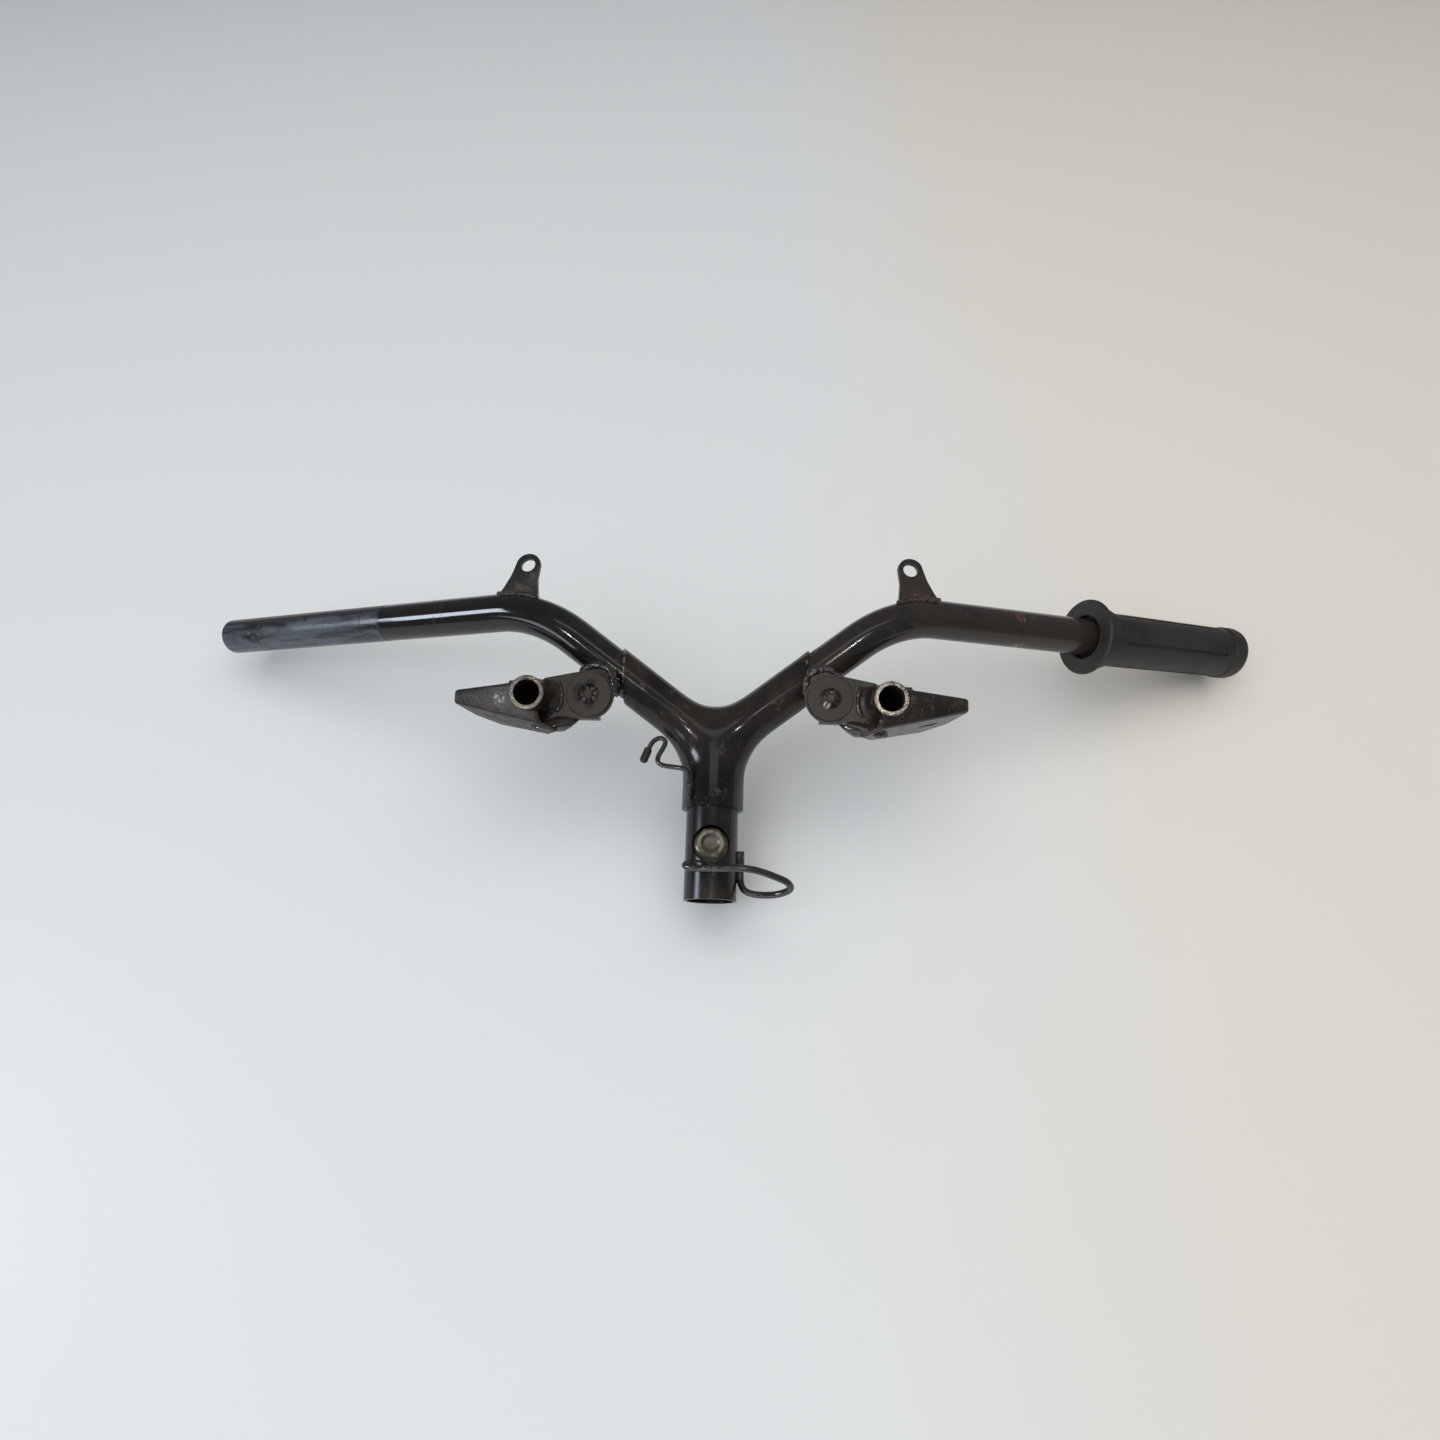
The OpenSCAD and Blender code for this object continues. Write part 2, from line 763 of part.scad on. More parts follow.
wedge_tip_y = 20;
wedge_lean = 0.374;
wedge_drop = 0.245;
wedge_top_rise = 0.075;
flange_splay = tan(12);
top_splay = tan(3);
wedge_round = 2.2;
wedge_inner_x = -4.5;
wedge_top_x = 3;
open_inner_x = -40;
open_back = 64;
wedge_plan = [[wedge_reach, wedge_tip_y], [36, 30.8], [22, 31.9], [-8, 15.8], [-13.5, 6]];
open_plan = [
    [wedge_reach, wedge_tip_y],
    [wedge_reach - 2, open_back],
    [-8, open_back],
    [open_inner_x, open_back],
    [open_inner_x, -12]
];
function fold_y(x) = wedge_tip_y - (wedge_reach - x) * wedge_lean;
function fold_low(x) = -wedge_tip_h / 2 - (wedge_reach - x) * wedge_drop;
function fold_high(x) = wedge_tip_h / 2 + (wedge_reach - x) * wedge_top_rise;
function low_at(p) = fold_low(p.x) - (p.y - fold_y(p.x)) * flange_splay;
function high_at(p) = fold_high(p.x) + (p.y - fold_y(p.x)) * top_splay;

module ball(p, r) {
    translate(p) sphere(r = r, $fn = 16);
}

// Outer or inner limits of the pressed wedge: corner balls between the folds and the plan's corners.
module wedge_body(plan, inner_x, top_x, r) {
    inset = wedge_round;
    hull() {
        for (p = concat(plan, [[inner_x, fold_y(inner_x)]]))
            ball([p.x, max(p.y, fold_y(p.x)) + inset, low_at(p) + inset], r);
        for (p = concat([for (q = plan) if (q.x > top_x) q], [[top_x, fold_y(top_x)], [top_x, 30]]))
            ball([p.x, max(p.y, fold_y(p.x)) + inset, high_at(p) - inset], r);
    }
}

slot_l = 11;
slot_w = 2;
slot_x = 24;
slot_in = 10.5;
slot_turn = 18;
module wedge_solid() {
    difference() {
        wedge_body(wedge_plan, wedge_inner_x, wedge_top_x, wedge_round);
        wedge_body(open_plan, open_inner_x, open_inner_x, wedge_round - wedge_sheet);
        collar_clearance();
        translate([slot_x, fold_y(slot_x) + slot_in, -flare_d])
            rotate([0, 0, slot_turn])
                linear_extrude(flare_d) {
                    square([slot_l - slot_w, slot_w], center = true);
                    for (x = [-1, 1])
                        translate([x * (slot_l - slot_w) / 2, 0]) circle(d = slot_w);
                }
    }
}

link_end_r = disc_d / 2 + 1;
link_y = 14.3;
link_low = disc_up - link_end_r;
link_top_x = -4.8;
link_top_z = 10.4;
lip_depth = 8;
lip_past = 5.5;
boss_x = -disc_reach - 3.4;
boss_z = disc_up + 7.4;
boss_back = 34;
boss_weld_l = 40;
boss_front = link_y + link_sheet;
module link_outline() {
    translate([-disc_reach, disc_up]) circle(r = link_end_r);
    polygon([
        [-disc_reach + 1.9, disc_up + link_end_r - 0.15],
        [link_top_x - 1, link_top_z],
        [link_top_x, link_top_z - 1],
        [link_top_x, link_low],
        [-disc_reach, link_low]
    ]);
}

// Tongue from the link's lip down to the inside of the wedge's lower flange.
tongue_half = link_sheet / 2 - 0.2;
tongue_tip = [-27, 16, link_low + link_sheet / 2];
tongue_root = [[-11, 7.4], [-4, 17.2]];
function flange_inside(p) = low_at([p.x, p.y - wedge_round]) + wedge_sheet + fit_gap;
module link_tongue() {
    corners = concat(
        [tongue_tip],
        [for (p = tongue_root) [p.x, p.y, flange_inside(p) + tongue_half]]
    );
    polyhedron(
        [for (z = [-tongue_half, tongue_half]) for (p = corners) p + [0, 0, z]],
        [[0, 1, 2], [5, 4, 3], [0, 3, 4], [0, 4, 1], [1, 4, 5], [1, 5, 2], [2, 5, 3], [2, 3, 0]]
    );
}

module link_solid() {
    difference() {
        union() {
            translate([0, link_y + link_sheet, 0])
                rotate([90, 0, 0])
                    linear_extrude(link_sheet)
                        link_outline();
            translate([-disc_reach - lip_past, link_y, link_low])
                cube([disc_reach + lip_past + link_top_x, lip_depth, link_sheet]);
            link_tongue();
            translate([0, link_y + lip_depth, 0])
                rotate([90, 0, 0])
                    linear_extrude(lip_depth)
                        intersection() {
                            difference() {
                                link_outline();
                                translate([0, -link_sheet]) link_outline();
                            }
                            translate([-disc_reach + 1, 0])
                                square([disc_reach, 2 * link_end_r]);
                        }
        }
        rotate([-90, 0, 0]) cylinder(d = collar_od + 2 * fit_gap, h = 2 * collar_l);
        translate([-disc_reach, 0, disc_up])
            rotate([-90, 0, 0])
                cylinder(d = pin_d + fit_gap, h = 2 * link_y);
        boss_blank(boss_front, boss_d / 2 + weld_r + fit_gap);
    }
}

// Push-on disc with fingers between its slots, leaning out round the pin.
disc_y = link_y - fit_gap / 2;
finger_r = 5.8;
finger_lean = 1.2;
finger_slot = 1;
first_slot = 15;
disc_bore_r = pin_d / 2 + fit_gap / 2;
module disc_solid() {
    translate([-disc_reach, disc_y, disc_up])
        rotate([90, 0, 0])
            difference() {
                rotate_extrude()
                    polygon([
                        [disc_bore_r, finger_lean],
                        [finger_r, 0],
                        [disc_d / 2 - 0.5, 0],
                        [disc_d / 2, 0.5],
                        [disc_d / 2, disc_sheet - 0.4],
                        [disc_d / 2 - 0.4, disc_sheet],
                        [finger_r, disc_sheet],
                        [disc_bore_r, finger_lean + disc_sheet]
                    ]);
                for (i = [0:disc_slots - 1])
                    rotate([0, 0, first_slot + 360 * i / disc_slots])
                        translate([pin_d / 2 - 0.5, -finger_slot / 2, -1])
                            cube([finger_r - pin_d / 2 + 0.5, finger_slot, 6]);
            }
}

module pin_solid() {
    translate([-disc_reach, link_y + link_sheet, disc_up])
        rotate([90, 0, 0])
            rotate_extrude()
                polygon([
                    [0, 0],
                    [pin_d / 2, 0],
                    [pin_d / 2, link_sheet + disc_sheet + 1.4],
                    [pin_d / 2 - 0.7, link_sheet + disc_sheet + 2],
                    [0, link_sheet + disc_sheet + 2]
                ]);
}

module boss_blank(front, r) {
    translate([boss_x, front, boss_z])
        rotate([-90, 0, 0])
            cylinder(r = r, h = boss_back - front);
}

module lug_arm_room() {
    intersection() {
        in_frame(joint, cross(arm_dir, bend_normal), arm_dir)
            cylinder(r = arm_shell_r + fit_gap, h = arm_length);
        translate([0, -bend_ahead - bar_od, joint_z]) cube([lug_end_x + fit_gap, 3 * bar_od, 4 * bar_od]);
    }
}

module right_boss_solid() {
    difference() {
        union() {
            at_right_bracket() boss_blank(boss_front, boss_d / 2);
            intersection() {
                bar_run(bar_r + weld_r, 0, bar_start, boss_weld_l);
                at_right_bracket() boss_blank(boss_front + 2, boss_d / 2 + weld_r);
            }
        }
        bar_run(bar_r, 0, bar_start, boss_weld_l);
        lug_arm_room();
    }
}

module left_boss_solid() {
    mirror([1, 0, 0])
        difference() {
            union() {
                mirror([1, 0, 0]) at_left_bracket() boss_blank(boss_front, boss_d / 2);
                intersection() {
                    bar_run(bar_r + weld_r, 0, bar_start, boss_weld_l);
                    mirror([1, 0, 0])
                        at_left_bracket()
                            boss_blank(boss_front + 2, boss_d / 2 + weld_r);
                }
            }
            bar_run(bar_r, 0, bar_start, boss_weld_l);
            lug_arm_room();
        }
}

module right_collar() { color(rust) at_right_bracket() collar_solid(); }
module left_collar() { color(rust) at_left_bracket() collar_solid(); }
module right_wedge() { color(rust) at_right_bracket() wedge_solid(); }
module left_wedge() { color(rust) at_left_bracket() wedge_solid(); }
module right_link() { color(rust) at_right_bracket() link_solid(); }
module left_link() { color(rust) at_left_bracket() link_solid(); }
module right_disc() { color(rust) at_right_bracket() disc_solid(); }
module left_disc() { color(rust) at_left_bracket() disc_solid(); }
module right_pin() { color(rust) at_right_bracket() pin_solid(); }
module left_pin() { color(rust) at_left_bracket() pin_solid(); }
module right_boss() { color(rust) right_boss_solid(); }
module left_boss() { color(rust) left_boss_solid(); }

// Rubber grip, turned round the right bar's outer axis.
grip_at = bar_reach + grip_end_t - grip_l;
grip_bore_r = bar_r + fit_gap;
grip_mouth_r = bar_r + 2;
grip_neck_end = 13;
grip_ring_at = grip_l - 12;
groove_r = 0.9;
groove_at = grip_neck_end + 6;
groove_l = grip_ring_at - grip_neck_end - 12;
groove_turn = 30;
grip_taper = atan((grip_d - grip_tip_d) / 2 / (grip_ring_at - grip_neck_end));
module grip() {
    color(rubber)
        in_frame(bend_point, unit(cross(outer_dir, [0, 0, 1])), outer_dir)
            translate([0, 0, grip_at])
                difference() {
                    rotate_extrude()
                        polygon([
                            [grip_bore_r, 6],
                            [grip_mouth_r, 5],
                            [grip_mouth_r, 0.6],
                            [grip_mouth_r + 0.6, 0],
                            [grip_flange_d / 2 - 1, 0],
                            [grip_flange_d / 2, 1],
                            [grip_flange_d / 2, grip_flange_t - 1],
                            [grip_flange_d / 2 - 1, grip_flange_t],
                            [grip_neck_d / 2 + 1.4, grip_flange_t + 0.2],
                            [grip_neck_d / 2, grip_flange_t + 1.6],
                            [grip_neck_d / 2, grip_neck_end - 1.6],
                            [grip_neck_d / 2 - 1.4, grip_neck_end],
                            [grip_d / 2, grip_neck_end + 0.4],
                            [grip_tip_d / 2, grip_ring_at],
                            [grip_tip_d / 2 + 0.8, grip_ring_at + 1.6],
                            [grip_tip_d / 2 + 0.8, grip_l - 4.4],
                            [grip_tip_d / 2 + 0.2, grip_l - 2.2],
                            [grip_tip_d / 2 - 1.2, grip_l - 0.7],
                            [grip_tip_d / 2 - 3, grip_l],
                            [0, grip_l],
                            [0, bar_reach - grip_at + 0.5],
                            [grip_bore_r, bar_reach - grip_at + 0.5]
                        ]);
                    for (i = [0:grip_grooves - 1])
                        rotate([0, 0, groove_turn + 360 * i / grip_grooves])
                            translate([grip_d / 2 - 0.05, 0, groove_at])
                                rotate([0, -grip_taper, 0])
                                    cylinder(r = groove_r, h = groove_l, $fn = 24);
                }
}

left_bar_tube();
right_bar_tube();
lug_front_shell();
lug_rear_shell();
stem_tube();
stem_bolt();
stem_nut();
cable_ring();
cable_hook();
hook_cap();
left_tab();
right_tab();
left_wedge();
right_wedge();
left_collar();
right_collar();
left_link();
right_link();
left_disc();
right_disc();
left_pin();
right_pin();
left_boss();
right_boss();
grip();
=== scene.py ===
import math
import random

import bmesh
import bpy
from mathutils import Matrix, Vector, noise
from mathutils.bvhtree import BVHTree


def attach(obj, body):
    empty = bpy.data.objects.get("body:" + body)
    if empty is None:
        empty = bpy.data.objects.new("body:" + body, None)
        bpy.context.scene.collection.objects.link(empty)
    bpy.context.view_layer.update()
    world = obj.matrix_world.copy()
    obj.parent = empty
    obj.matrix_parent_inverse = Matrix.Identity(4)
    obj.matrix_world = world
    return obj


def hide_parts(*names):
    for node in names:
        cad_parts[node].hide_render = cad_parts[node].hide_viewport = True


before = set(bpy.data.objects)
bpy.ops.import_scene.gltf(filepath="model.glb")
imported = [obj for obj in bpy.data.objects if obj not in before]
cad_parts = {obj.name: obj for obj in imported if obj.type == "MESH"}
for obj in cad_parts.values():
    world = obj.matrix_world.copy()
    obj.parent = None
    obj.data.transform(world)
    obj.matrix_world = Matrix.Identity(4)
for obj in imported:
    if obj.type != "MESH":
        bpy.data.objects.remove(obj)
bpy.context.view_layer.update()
mm = 0.001
scene = bpy.context.scene
print("frame loaded")

# camera: the photograph's angle, from the front and a little below the stem's mouth
cameraSetup = {
    "place": (0.01487, -0.44469, -0.04228),
    "right": (0.999498, 0.018626, 0.025669),
    "up": (-0.018626, -0.310323, 0.950454),
    "ahead": (-0.025669, 0.950454, 0.30982),
    "lens": 20.27,
    "sensor": 36,
    "near": 0.01,
    "far": 20,
}


def addCamera(setup):
    data = bpy.data.cameras.new("photoCamera")
    data.lens = setup["lens"]
    data.sensor_width = setup["sensor"]
    data.clip_start = setup["near"]
    data.clip_end = setup["far"]
    camera = bpy.data.objects.new("photoCamera", data)
    scene.collection.objects.link(camera)
    turn = Matrix((setup["right"], setup["up"], [-v for v in setup["ahead"]])).transposed()
    camera.matrix_world = Matrix.Translation(setup["place"]) @ turn.to_4x4()
    scene.camera = camera


addCamera(cameraSetup)
print("camera placed")


# helpers that build node trees
def newMaterial(name):
    material = bpy.data.materials.new(name)
    material.use_nodes = True
    material.node_tree.nodes.clear()
    return material, material.node_tree


def addNode(tree, kind, **values):
    node = tree.nodes.new(kind)
    for key, value in values.items():
        setattr(node, key, value)
    return node


def feed(tree, socket, value):
    if isinstance(value, bpy.types.NodeSocket):
        tree.links.new(value, socket)
    else:
        socket.default_value = value


def calc(tree, operation, a, b=0.0, clamp=False):
    node = addNode(tree, "ShaderNodeMath", operation=operation, use_clamp=clamp)
    feed(tree, node.inputs[0], a)
    feed(tree, node.inputs[1], b)
    return node.outputs[0]


def ramp(tree, source, low, high):
    node = addNode(tree, "ShaderNodeMapRange", interpolation_type="SMOOTHSTEP")
    feed(tree, node.inputs["From Min"], low)
    feed(tree, node.inputs["From Max"], high)
    feed(tree, node.inputs["Value"], source)
    return node.outputs["Result"]


def noiseOut(tree, vector, scale, detail=3.0, rough=0.55, distortion=0.0):
    node = addNode(tree, "ShaderNodeTexNoise")
    node.inputs["Detail"].default_value = detail
    node.inputs["Roughness"].default_value = rough
    node.inputs["Distortion"].default_value = distortion
    feed(tree, node.inputs["Scale"], scale)
    feed(tree, node.inputs["Vector"], vector)
    return node.outputs["Fac"]


def mixColour(tree, factor, a, b):
    node = addNode(tree, "ShaderNodeMix", data_type="RGBA")
    feed(tree, node.inputs[0], factor)
    feed(tree, node.inputs[6], a)
    feed(tree, node.inputs[7], b)
    return node.outputs[2]


def mixValue(tree, factor, a, b):
    node = addNode(tree, "ShaderNodeMix", data_type="FLOAT")
    feed(tree, node.inputs[0], factor)
    feed(tree, node.inputs[2], a)
    feed(tree, node.inputs[3], b)
    return node.outputs[0]


# a step from 0 to 1 at an edge, as wide as its softness on both sides
def softStep(tree, source, edge, soft):
    low = calc(tree, "SUBTRACT", edge, soft)
    high = calc(tree, "ADD", edge, soft)
    return ramp(tree, source, low, high)


# the vector operations that give one number
numberResults = ("DOT_PRODUCT", "DISTANCE", "LENGTH")


def vectorCalc(tree, operation, a, b=None):
    node = addNode(tree, "ShaderNodeVectorMath", operation=operation)
    feed(tree, node.inputs[0], a)
    if b is not None:
        feed(tree, node.inputs[1], b)
    return node.outputs["Value" if operation in numberResults else "Vector"]


# node groups shared by the materials; they put out masks only
def newGroup(name, inputs):
    group = bpy.data.node_groups.new(name, "ShaderNodeTree")
    for label, kind, value in inputs:
        socket = group.interface.new_socket(name=label, in_out="INPUT", socket_type=kind)
        if value is not None:
            socket.default_value = value
    group.interface.new_socket(name="Mask", in_out="OUTPUT", socket_type="NodeSocketFloat")
    start = group.nodes.new("NodeGroupInput")
    end = group.nodes.new("NodeGroupOutput")
    return group, start, end


# broad noise makes the blotches and fine noise crumbles their edges
patchNoise = {
    "detail": 4.0,
    "rough": 0.6,
    "twist": 0.3,
    "finer": 9.0,
    "fineDetail": 3.0,
    "crumbs": 0.22,
}


# blotches of a given size and cover, broken at their edges
def patchGroup(setup):
    group, start, end = newGroup(
        "patches",
        [
            ("Vector", "NodeSocketVector", None),
            ("Scale", "NodeSocketFloat", 60.0),
            ("Cover", "NodeSocketFloat", 0.4),
            ("Softness", "NodeSocketFloat", 0.08),
        ],
    )
    place = start.outputs["Vector"]
    scale = start.outputs["Scale"]
    broad = noiseOut(group, place, scale, setup["detail"], setup["rough"], setup["twist"])
    fineScale = calc(group, "MULTIPLY", scale, setup["finer"])
    fine = noiseOut(group, place, fineScale, setup["fineDetail"], setup["rough"])
    crumbs = calc(group, "MULTIPLY", calc(group, "SUBTRACT", fine, 0.5), setup["crumbs"])
    edge = calc(group, "SUBTRACT", 1.0, start.outputs["Cover"])
    blotches = softStep(group, calc(group, "ADD", broad, crumbs), edge, start.outputs["Softness"])
    group.links.new(blotches, end.inputs["Mask"])
    return group


# mask between two distances along a straight line
def bandGroup():
    group, start, end = newGroup(
        "band",
        [
            ("Vector", "NodeSocketVector", None),
            ("Start", "NodeSocketVector", (0, 0, 0)),
            ("Direction", "NodeSocketVector", (1, 0, 0)),
            ("From", "NodeSocketFloat", 0.0),
            ("To", "NodeSocketFloat", 0.1),
            ("Softness", "NodeSocketFloat", 0.002),
        ],
    )
    offset = vectorCalc(group, "SUBTRACT", start.outputs["Vector"], start.outputs["Start"])
    along = vectorCalc(group, "DOT_PRODUCT", offset, start.outputs["Direction"])
    begun = softStep(group, along, start.outputs["From"], start.outputs["Softness"])
    ended = softStep(group, along, start.outputs["To"], start.outputs["Softness"])
    group.links.new(calc(group, "SUBTRACT", begun, ended, True), end.inputs["Mask"])
    return group


# soft round mask about a point
def spotGroup():
    group, start, end = newGroup(
        "spot",
        [
            ("Vector", "NodeSocketVector", None),
            ("Centre", "NodeSocketVector", (0, 0, 0)),
            ("Radius", "NodeSocketFloat", 0.01),
            ("Softness", "NodeSocketFloat", 0.004),
        ],
    )
    gap = vectorCalc(group, "DISTANCE", start.outputs["Vector"], start.outputs["Centre"])
    far = softStep(group, gap, start.outputs["Radius"], start.outputs["Softness"])
    group.links.new(calc(group, "SUBTRACT", 1.0, far), end.inputs["Mask"])
    return group


# mask within a distance of a straight line
def roundGroup():
    group, start, end = newGroup(
        "round",
        [
            ("Vector", "NodeSocketVector", None),
            ("Start", "NodeSocketVector", (0, 0, 0)),
            ("Direction", "NodeSocketVector", (1, 0, 0)),
            ("Radius", "NodeSocketFloat", 0.01),
            ("Softness", "NodeSocketFloat", 0.0002),
        ],
    )
    offset = vectorCalc(group, "SUBTRACT", start.outputs["Vector"], start.outputs["Start"])
    cross = vectorCalc(group, "CROSS_PRODUCT", offset, start.outputs["Direction"])
    gap = vectorCalc(group, "LENGTH", cross)
    far = softStep(group, gap, start.outputs["Radius"], start.outputs["Softness"])
    group.links.new(calc(group, "SUBTRACT", 1.0, far), end.inputs["Mask"])
    return group


groups = {
    "patches": patchGroup(patchNoise),
    "band": bandGroup(),
    "spot": spotGroup(),
    "round": roundGroup(),
}


def mask(tree, kind, vector, **values):
    node = addNode(tree, "ShaderNodeGroup", node_tree=groups[kind])
    tree.links.new(vector, node.inputs["Vector"])
    for key, value in values.items():
        node.inputs[key].default_value = value
    return node.outputs["Mask"]


# a line's stretch given as start, direction, from and to, broken by patches
def brokenBand(tree, place, stretch, soft, patches):
    start, direction, low, high = stretch
    area = mask(
        tree, "band", place, Start=start, Direction=direction, From=low, To=high, Softness=soft
    )
    return calc(tree, "MULTIPLY", area, mask(tree, "patches", place, **patches))


# a spot given as centre, radius and softness, broken by patches
def brokenSpot(tree, place, spot, patches):
    centre, radius, soft = spot
    area = mask(tree, "spot", place, Centre=centre, Radius=radius, Softness=soft)
    return calc(tree, "MULTIPLY", area, mask(tree, "patches", place, **patches))


def objectPlace(tree):
    return addNode(tree, "ShaderNodeTexCoord").outputs["Object"]


def addHeight(tree, height, source, share):
    return calc(tree, "ADD", height, calc(tree, "MULTIPLY", source, share))


def addSurface(tree, colour, roughness, height, depth, **plain):
    out = addNode(tree, "ShaderNodeOutputMaterial")
    surface = addNode(tree, "ShaderNodeBsdfPrincipled")
    for key, value in plain.items():
        surface.inputs[key.replace("_", " ")].default_value = value
    feed(tree, surface.inputs["Base Color"], colour)
    feed(tree, surface.inputs["Roughness"], roughness)
    bump = addNode(tree, "ShaderNodeBump")
    bump.inputs["Strength"].default_value = 1.0
    bump.inputs["Distance"].default_value = depth
    feed(tree, bump.inputs["Height"], height)
    tree.links.new(bump.outputs[0], surface.inputs["Normal"])
    tree.links.new(surface.outputs[0], out.inputs["Surface"])
    return surface


# pale table top under the handlebar, tinted warm towards its right side as painted warm light; it
# is clear when seen from behind
tableSetup = {
    "point": (0, 0.036, 0.04),
    "normal": (0, -0.956, 0.293),
    "half": 6.0,
    "cool": (0.79, 0.81, 0.825, 1),
    "paintedWarmLight": (0.83, 0.78, 0.72, 1),
    "paintedWarmLightFrom": 0.02,
    "paintedWarmLightTo": 0.32,
    "cloudScale": 3.0,
    "drift": 0.3,
    "rough": 0.5,
    "depth": 0.0001,
}


def tableMaterial(setup):
    material, tree = newMaterial("paleTable")
    place = objectPlace(tree)
    side = addNode(tree, "ShaderNodeSeparateXYZ")
    tree.links.new(place, side.inputs[0])
    cloud = noiseOut(tree, place, setup["cloudScale"], 2.0, 0.5)
    drift = calc(tree, "MULTIPLY", calc(tree, "SUBTRACT", cloud, 0.5), setup["drift"])
    # the warm tint towards the right is painted warm light
    sideways = calc(tree, "ADD", side.outputs["X"], drift)
    paintedWarmLightShare = ramp(tree, sideways, setup["paintedWarmLightFrom"], setup["paintedWarmLightTo"])
    colour = mixColour(tree, paintedWarmLightShare, setup["cool"], setup["paintedWarmLight"])
    surface = addSurface(tree, colour, setup["rough"], cloud, setup["depth"])
    clear = addNode(tree, "ShaderNodeBsdfTransparent")
    back = addNode(tree, "ShaderNodeNewGeometry")
    mix = addNode(tree, "ShaderNodeMixShader")
    tree.links.new(back.outputs["Backfacing"], mix.inputs[0])
    tree.links.new(surface.outputs[0], mix.inputs[1])
    tree.links.new(clear.outputs[0], mix.inputs[2])
    tree.links.new(mix.outputs[0], tree.nodes["Material Output"].inputs["Surface"])
    return material


def addTable(setup):
    normal = Vector(setup["normal"]).normalized()
    across = Vector((1, 0, 0))
    turn = Matrix((across, normal.cross(across), normal)).transposed().to_4x4()
    bm = bmesh.new()
    bmesh.ops.create_grid(bm, x_segments=4, y_segments=4, size=setup["half"])
    bmesh.ops.transform(bm, matrix=Matrix.Translation(setup["point"]) @ turn, verts=bm.verts)
    mesh = bpy.data.meshes.new("table")
    bm.to_mesh(mesh)
    bm.free()
    table = bpy.data.objects.new("table", mesh)
    scene.collection.objects.link(table)
    mesh.materials.append(tableMaterial(setup))


addTable(tableSetup)
print("table placed")

lampAim = (0, 0, 0.11)

# lamps: place, size, watts and whether each lights surfaces or only shines on gloss
lampSetup = {
    "ceiling": {
        "place": (0.1, -2.2, 0.9), "size": (4.6, 4.0), "watts": 63,
        "colour": (1, 0.985, 0.96), "gloss": False, "light": True,
    },
    "room": {
        "place": (-1.4, -2.0, -0.6), "size": (2.2, 2.0), "watts": 21,
        "colour": (0.93, 0.97, 1), "gloss": False, "light": True,
    },
    "window": {
        "place": (-1.27, -0.80, 0.06), "size": (0.40, 0.40), "watts": 8,
        "colour": (0.80, 0.89, 1), "gloss": True, "light": False,
    },
    "lowWindow": {
        "place": (-1.05, -0.66, -0.72), "size": (0.30, 0.34), "watts": 1.2,
        "colour": (0.86, 0.93, 1), "gloss": True, "light": False,
    },
    "rightBulb": {
        "place": (0.185, -1.22, -0.045), "size": (0.045, 0.045), "watts": 1.3,
        "colour": (1, 0.96, 0.90), "gloss": True, "light": False,
    },
    "middleBulb": {
        "place": (-0.12, -1.19, -0.07), "size": (0.03, 0.03), "watts": 0.3,
        "colour": (1, 0.96, 0.92), "gloss": True, "light": False,
    },
    "leftBulb": {
        "place": (-0.42, -1.14, -0.17), "size": (0.045, 0.045), "watts": 1.3,
        "colour": (1, 0.97, 0.94), "gloss": True, "light": False,
    },
    "upper": {
        "place": (0.05, -1.2, 0.44), "size": (0.7, 0.2), "watts": 0.55,
        "colour": (1, 0.96, 0.92), "gloss": True, "light": False,
    },
    "below": {
        "place": (-0.55, -0.35, -1.25), "size": (1.8, 0.8), "watts": 8,
        "colour": (0.95, 0.97, 1), "gloss": True, "light": False,
    },
}


def addLamp(name, setup):
    data = bpy.data.lights.new(name, "AREA")
    data.shape = "RECTANGLE"
    data.size, data.size_y = setup["size"]
    data.energy = setup["watts"]
    data.color = setup["colour"]
    lamp = bpy.data.objects.new(name, data)
    scene.collection.objects.link(lamp)
    lamp.location = setup["place"]
    lamp.rotation_mode = "QUATERNION"
    aim = Vector(lampAim) - Vector(setup["place"])
    lamp.rotation_quaternion = aim.to_track_quat("-Z", "Y")
    lamp.visible_glossy = setup["gloss"]
    lamp.visible_diffuse = setup["light"]


for lampName, lampValues in lampSetup.items():
    addLamp(lampName, lampValues)

worldSetup = {"lit": (0.80, 0.84, 0.88, 1), "strength": 0.23, "seen": (0.70, 0.71, 0.715, 1)}


def addWorld(setup):
    world = bpy.data.worlds.new("paleRoom")
    scene.world = world
    world.use_nodes = True
    tree = world.node_tree
    tree.nodes.clear()
    out = addNode(tree, "ShaderNodeOutputWorld")
    lit = addNode(tree, "ShaderNodeBackground")
    lit.inputs["Color"].default_value = setup["lit"]
    lit.inputs["Strength"].default_value = setup["strength"]
    seen = addNode(tree, "ShaderNodeBackground")
    seen.inputs["Color"].default_value = setup["seen"]
    rays = addNode(tree, "ShaderNodeLightPath")
    mix = addNode(tree, "ShaderNodeMixShader")
    tree.links.new(rays.outputs["Is Camera Ray"], mix.inputs[0])
    tree.links.new(lit.outputs[0], mix.inputs[1])
    tree.links.new(seen.outputs[0], mix.inputs[2])
    tree.links.new(mix.outputs[0], out.inputs["Surface"])


addWorld(worldSetup)
scene.view_settings.view_transform = "Standard"
print("lamps and room set")

# places that the materials and beads share, in metres
outLeft = (-0.945173, 0.321763, 0.055822)
bendLeft = (-0.1017, -0.024, 0.1594)
collarAxis = (0, 0.97992, 0.19937)
collarLeft = (-0.0987, -0.043, 0.102)
collarRight = (0.0935, -0.043, 0.102)
discMiddle = (-30.4, 12.5, 1.6)  # in the collar's frame, in millimetres


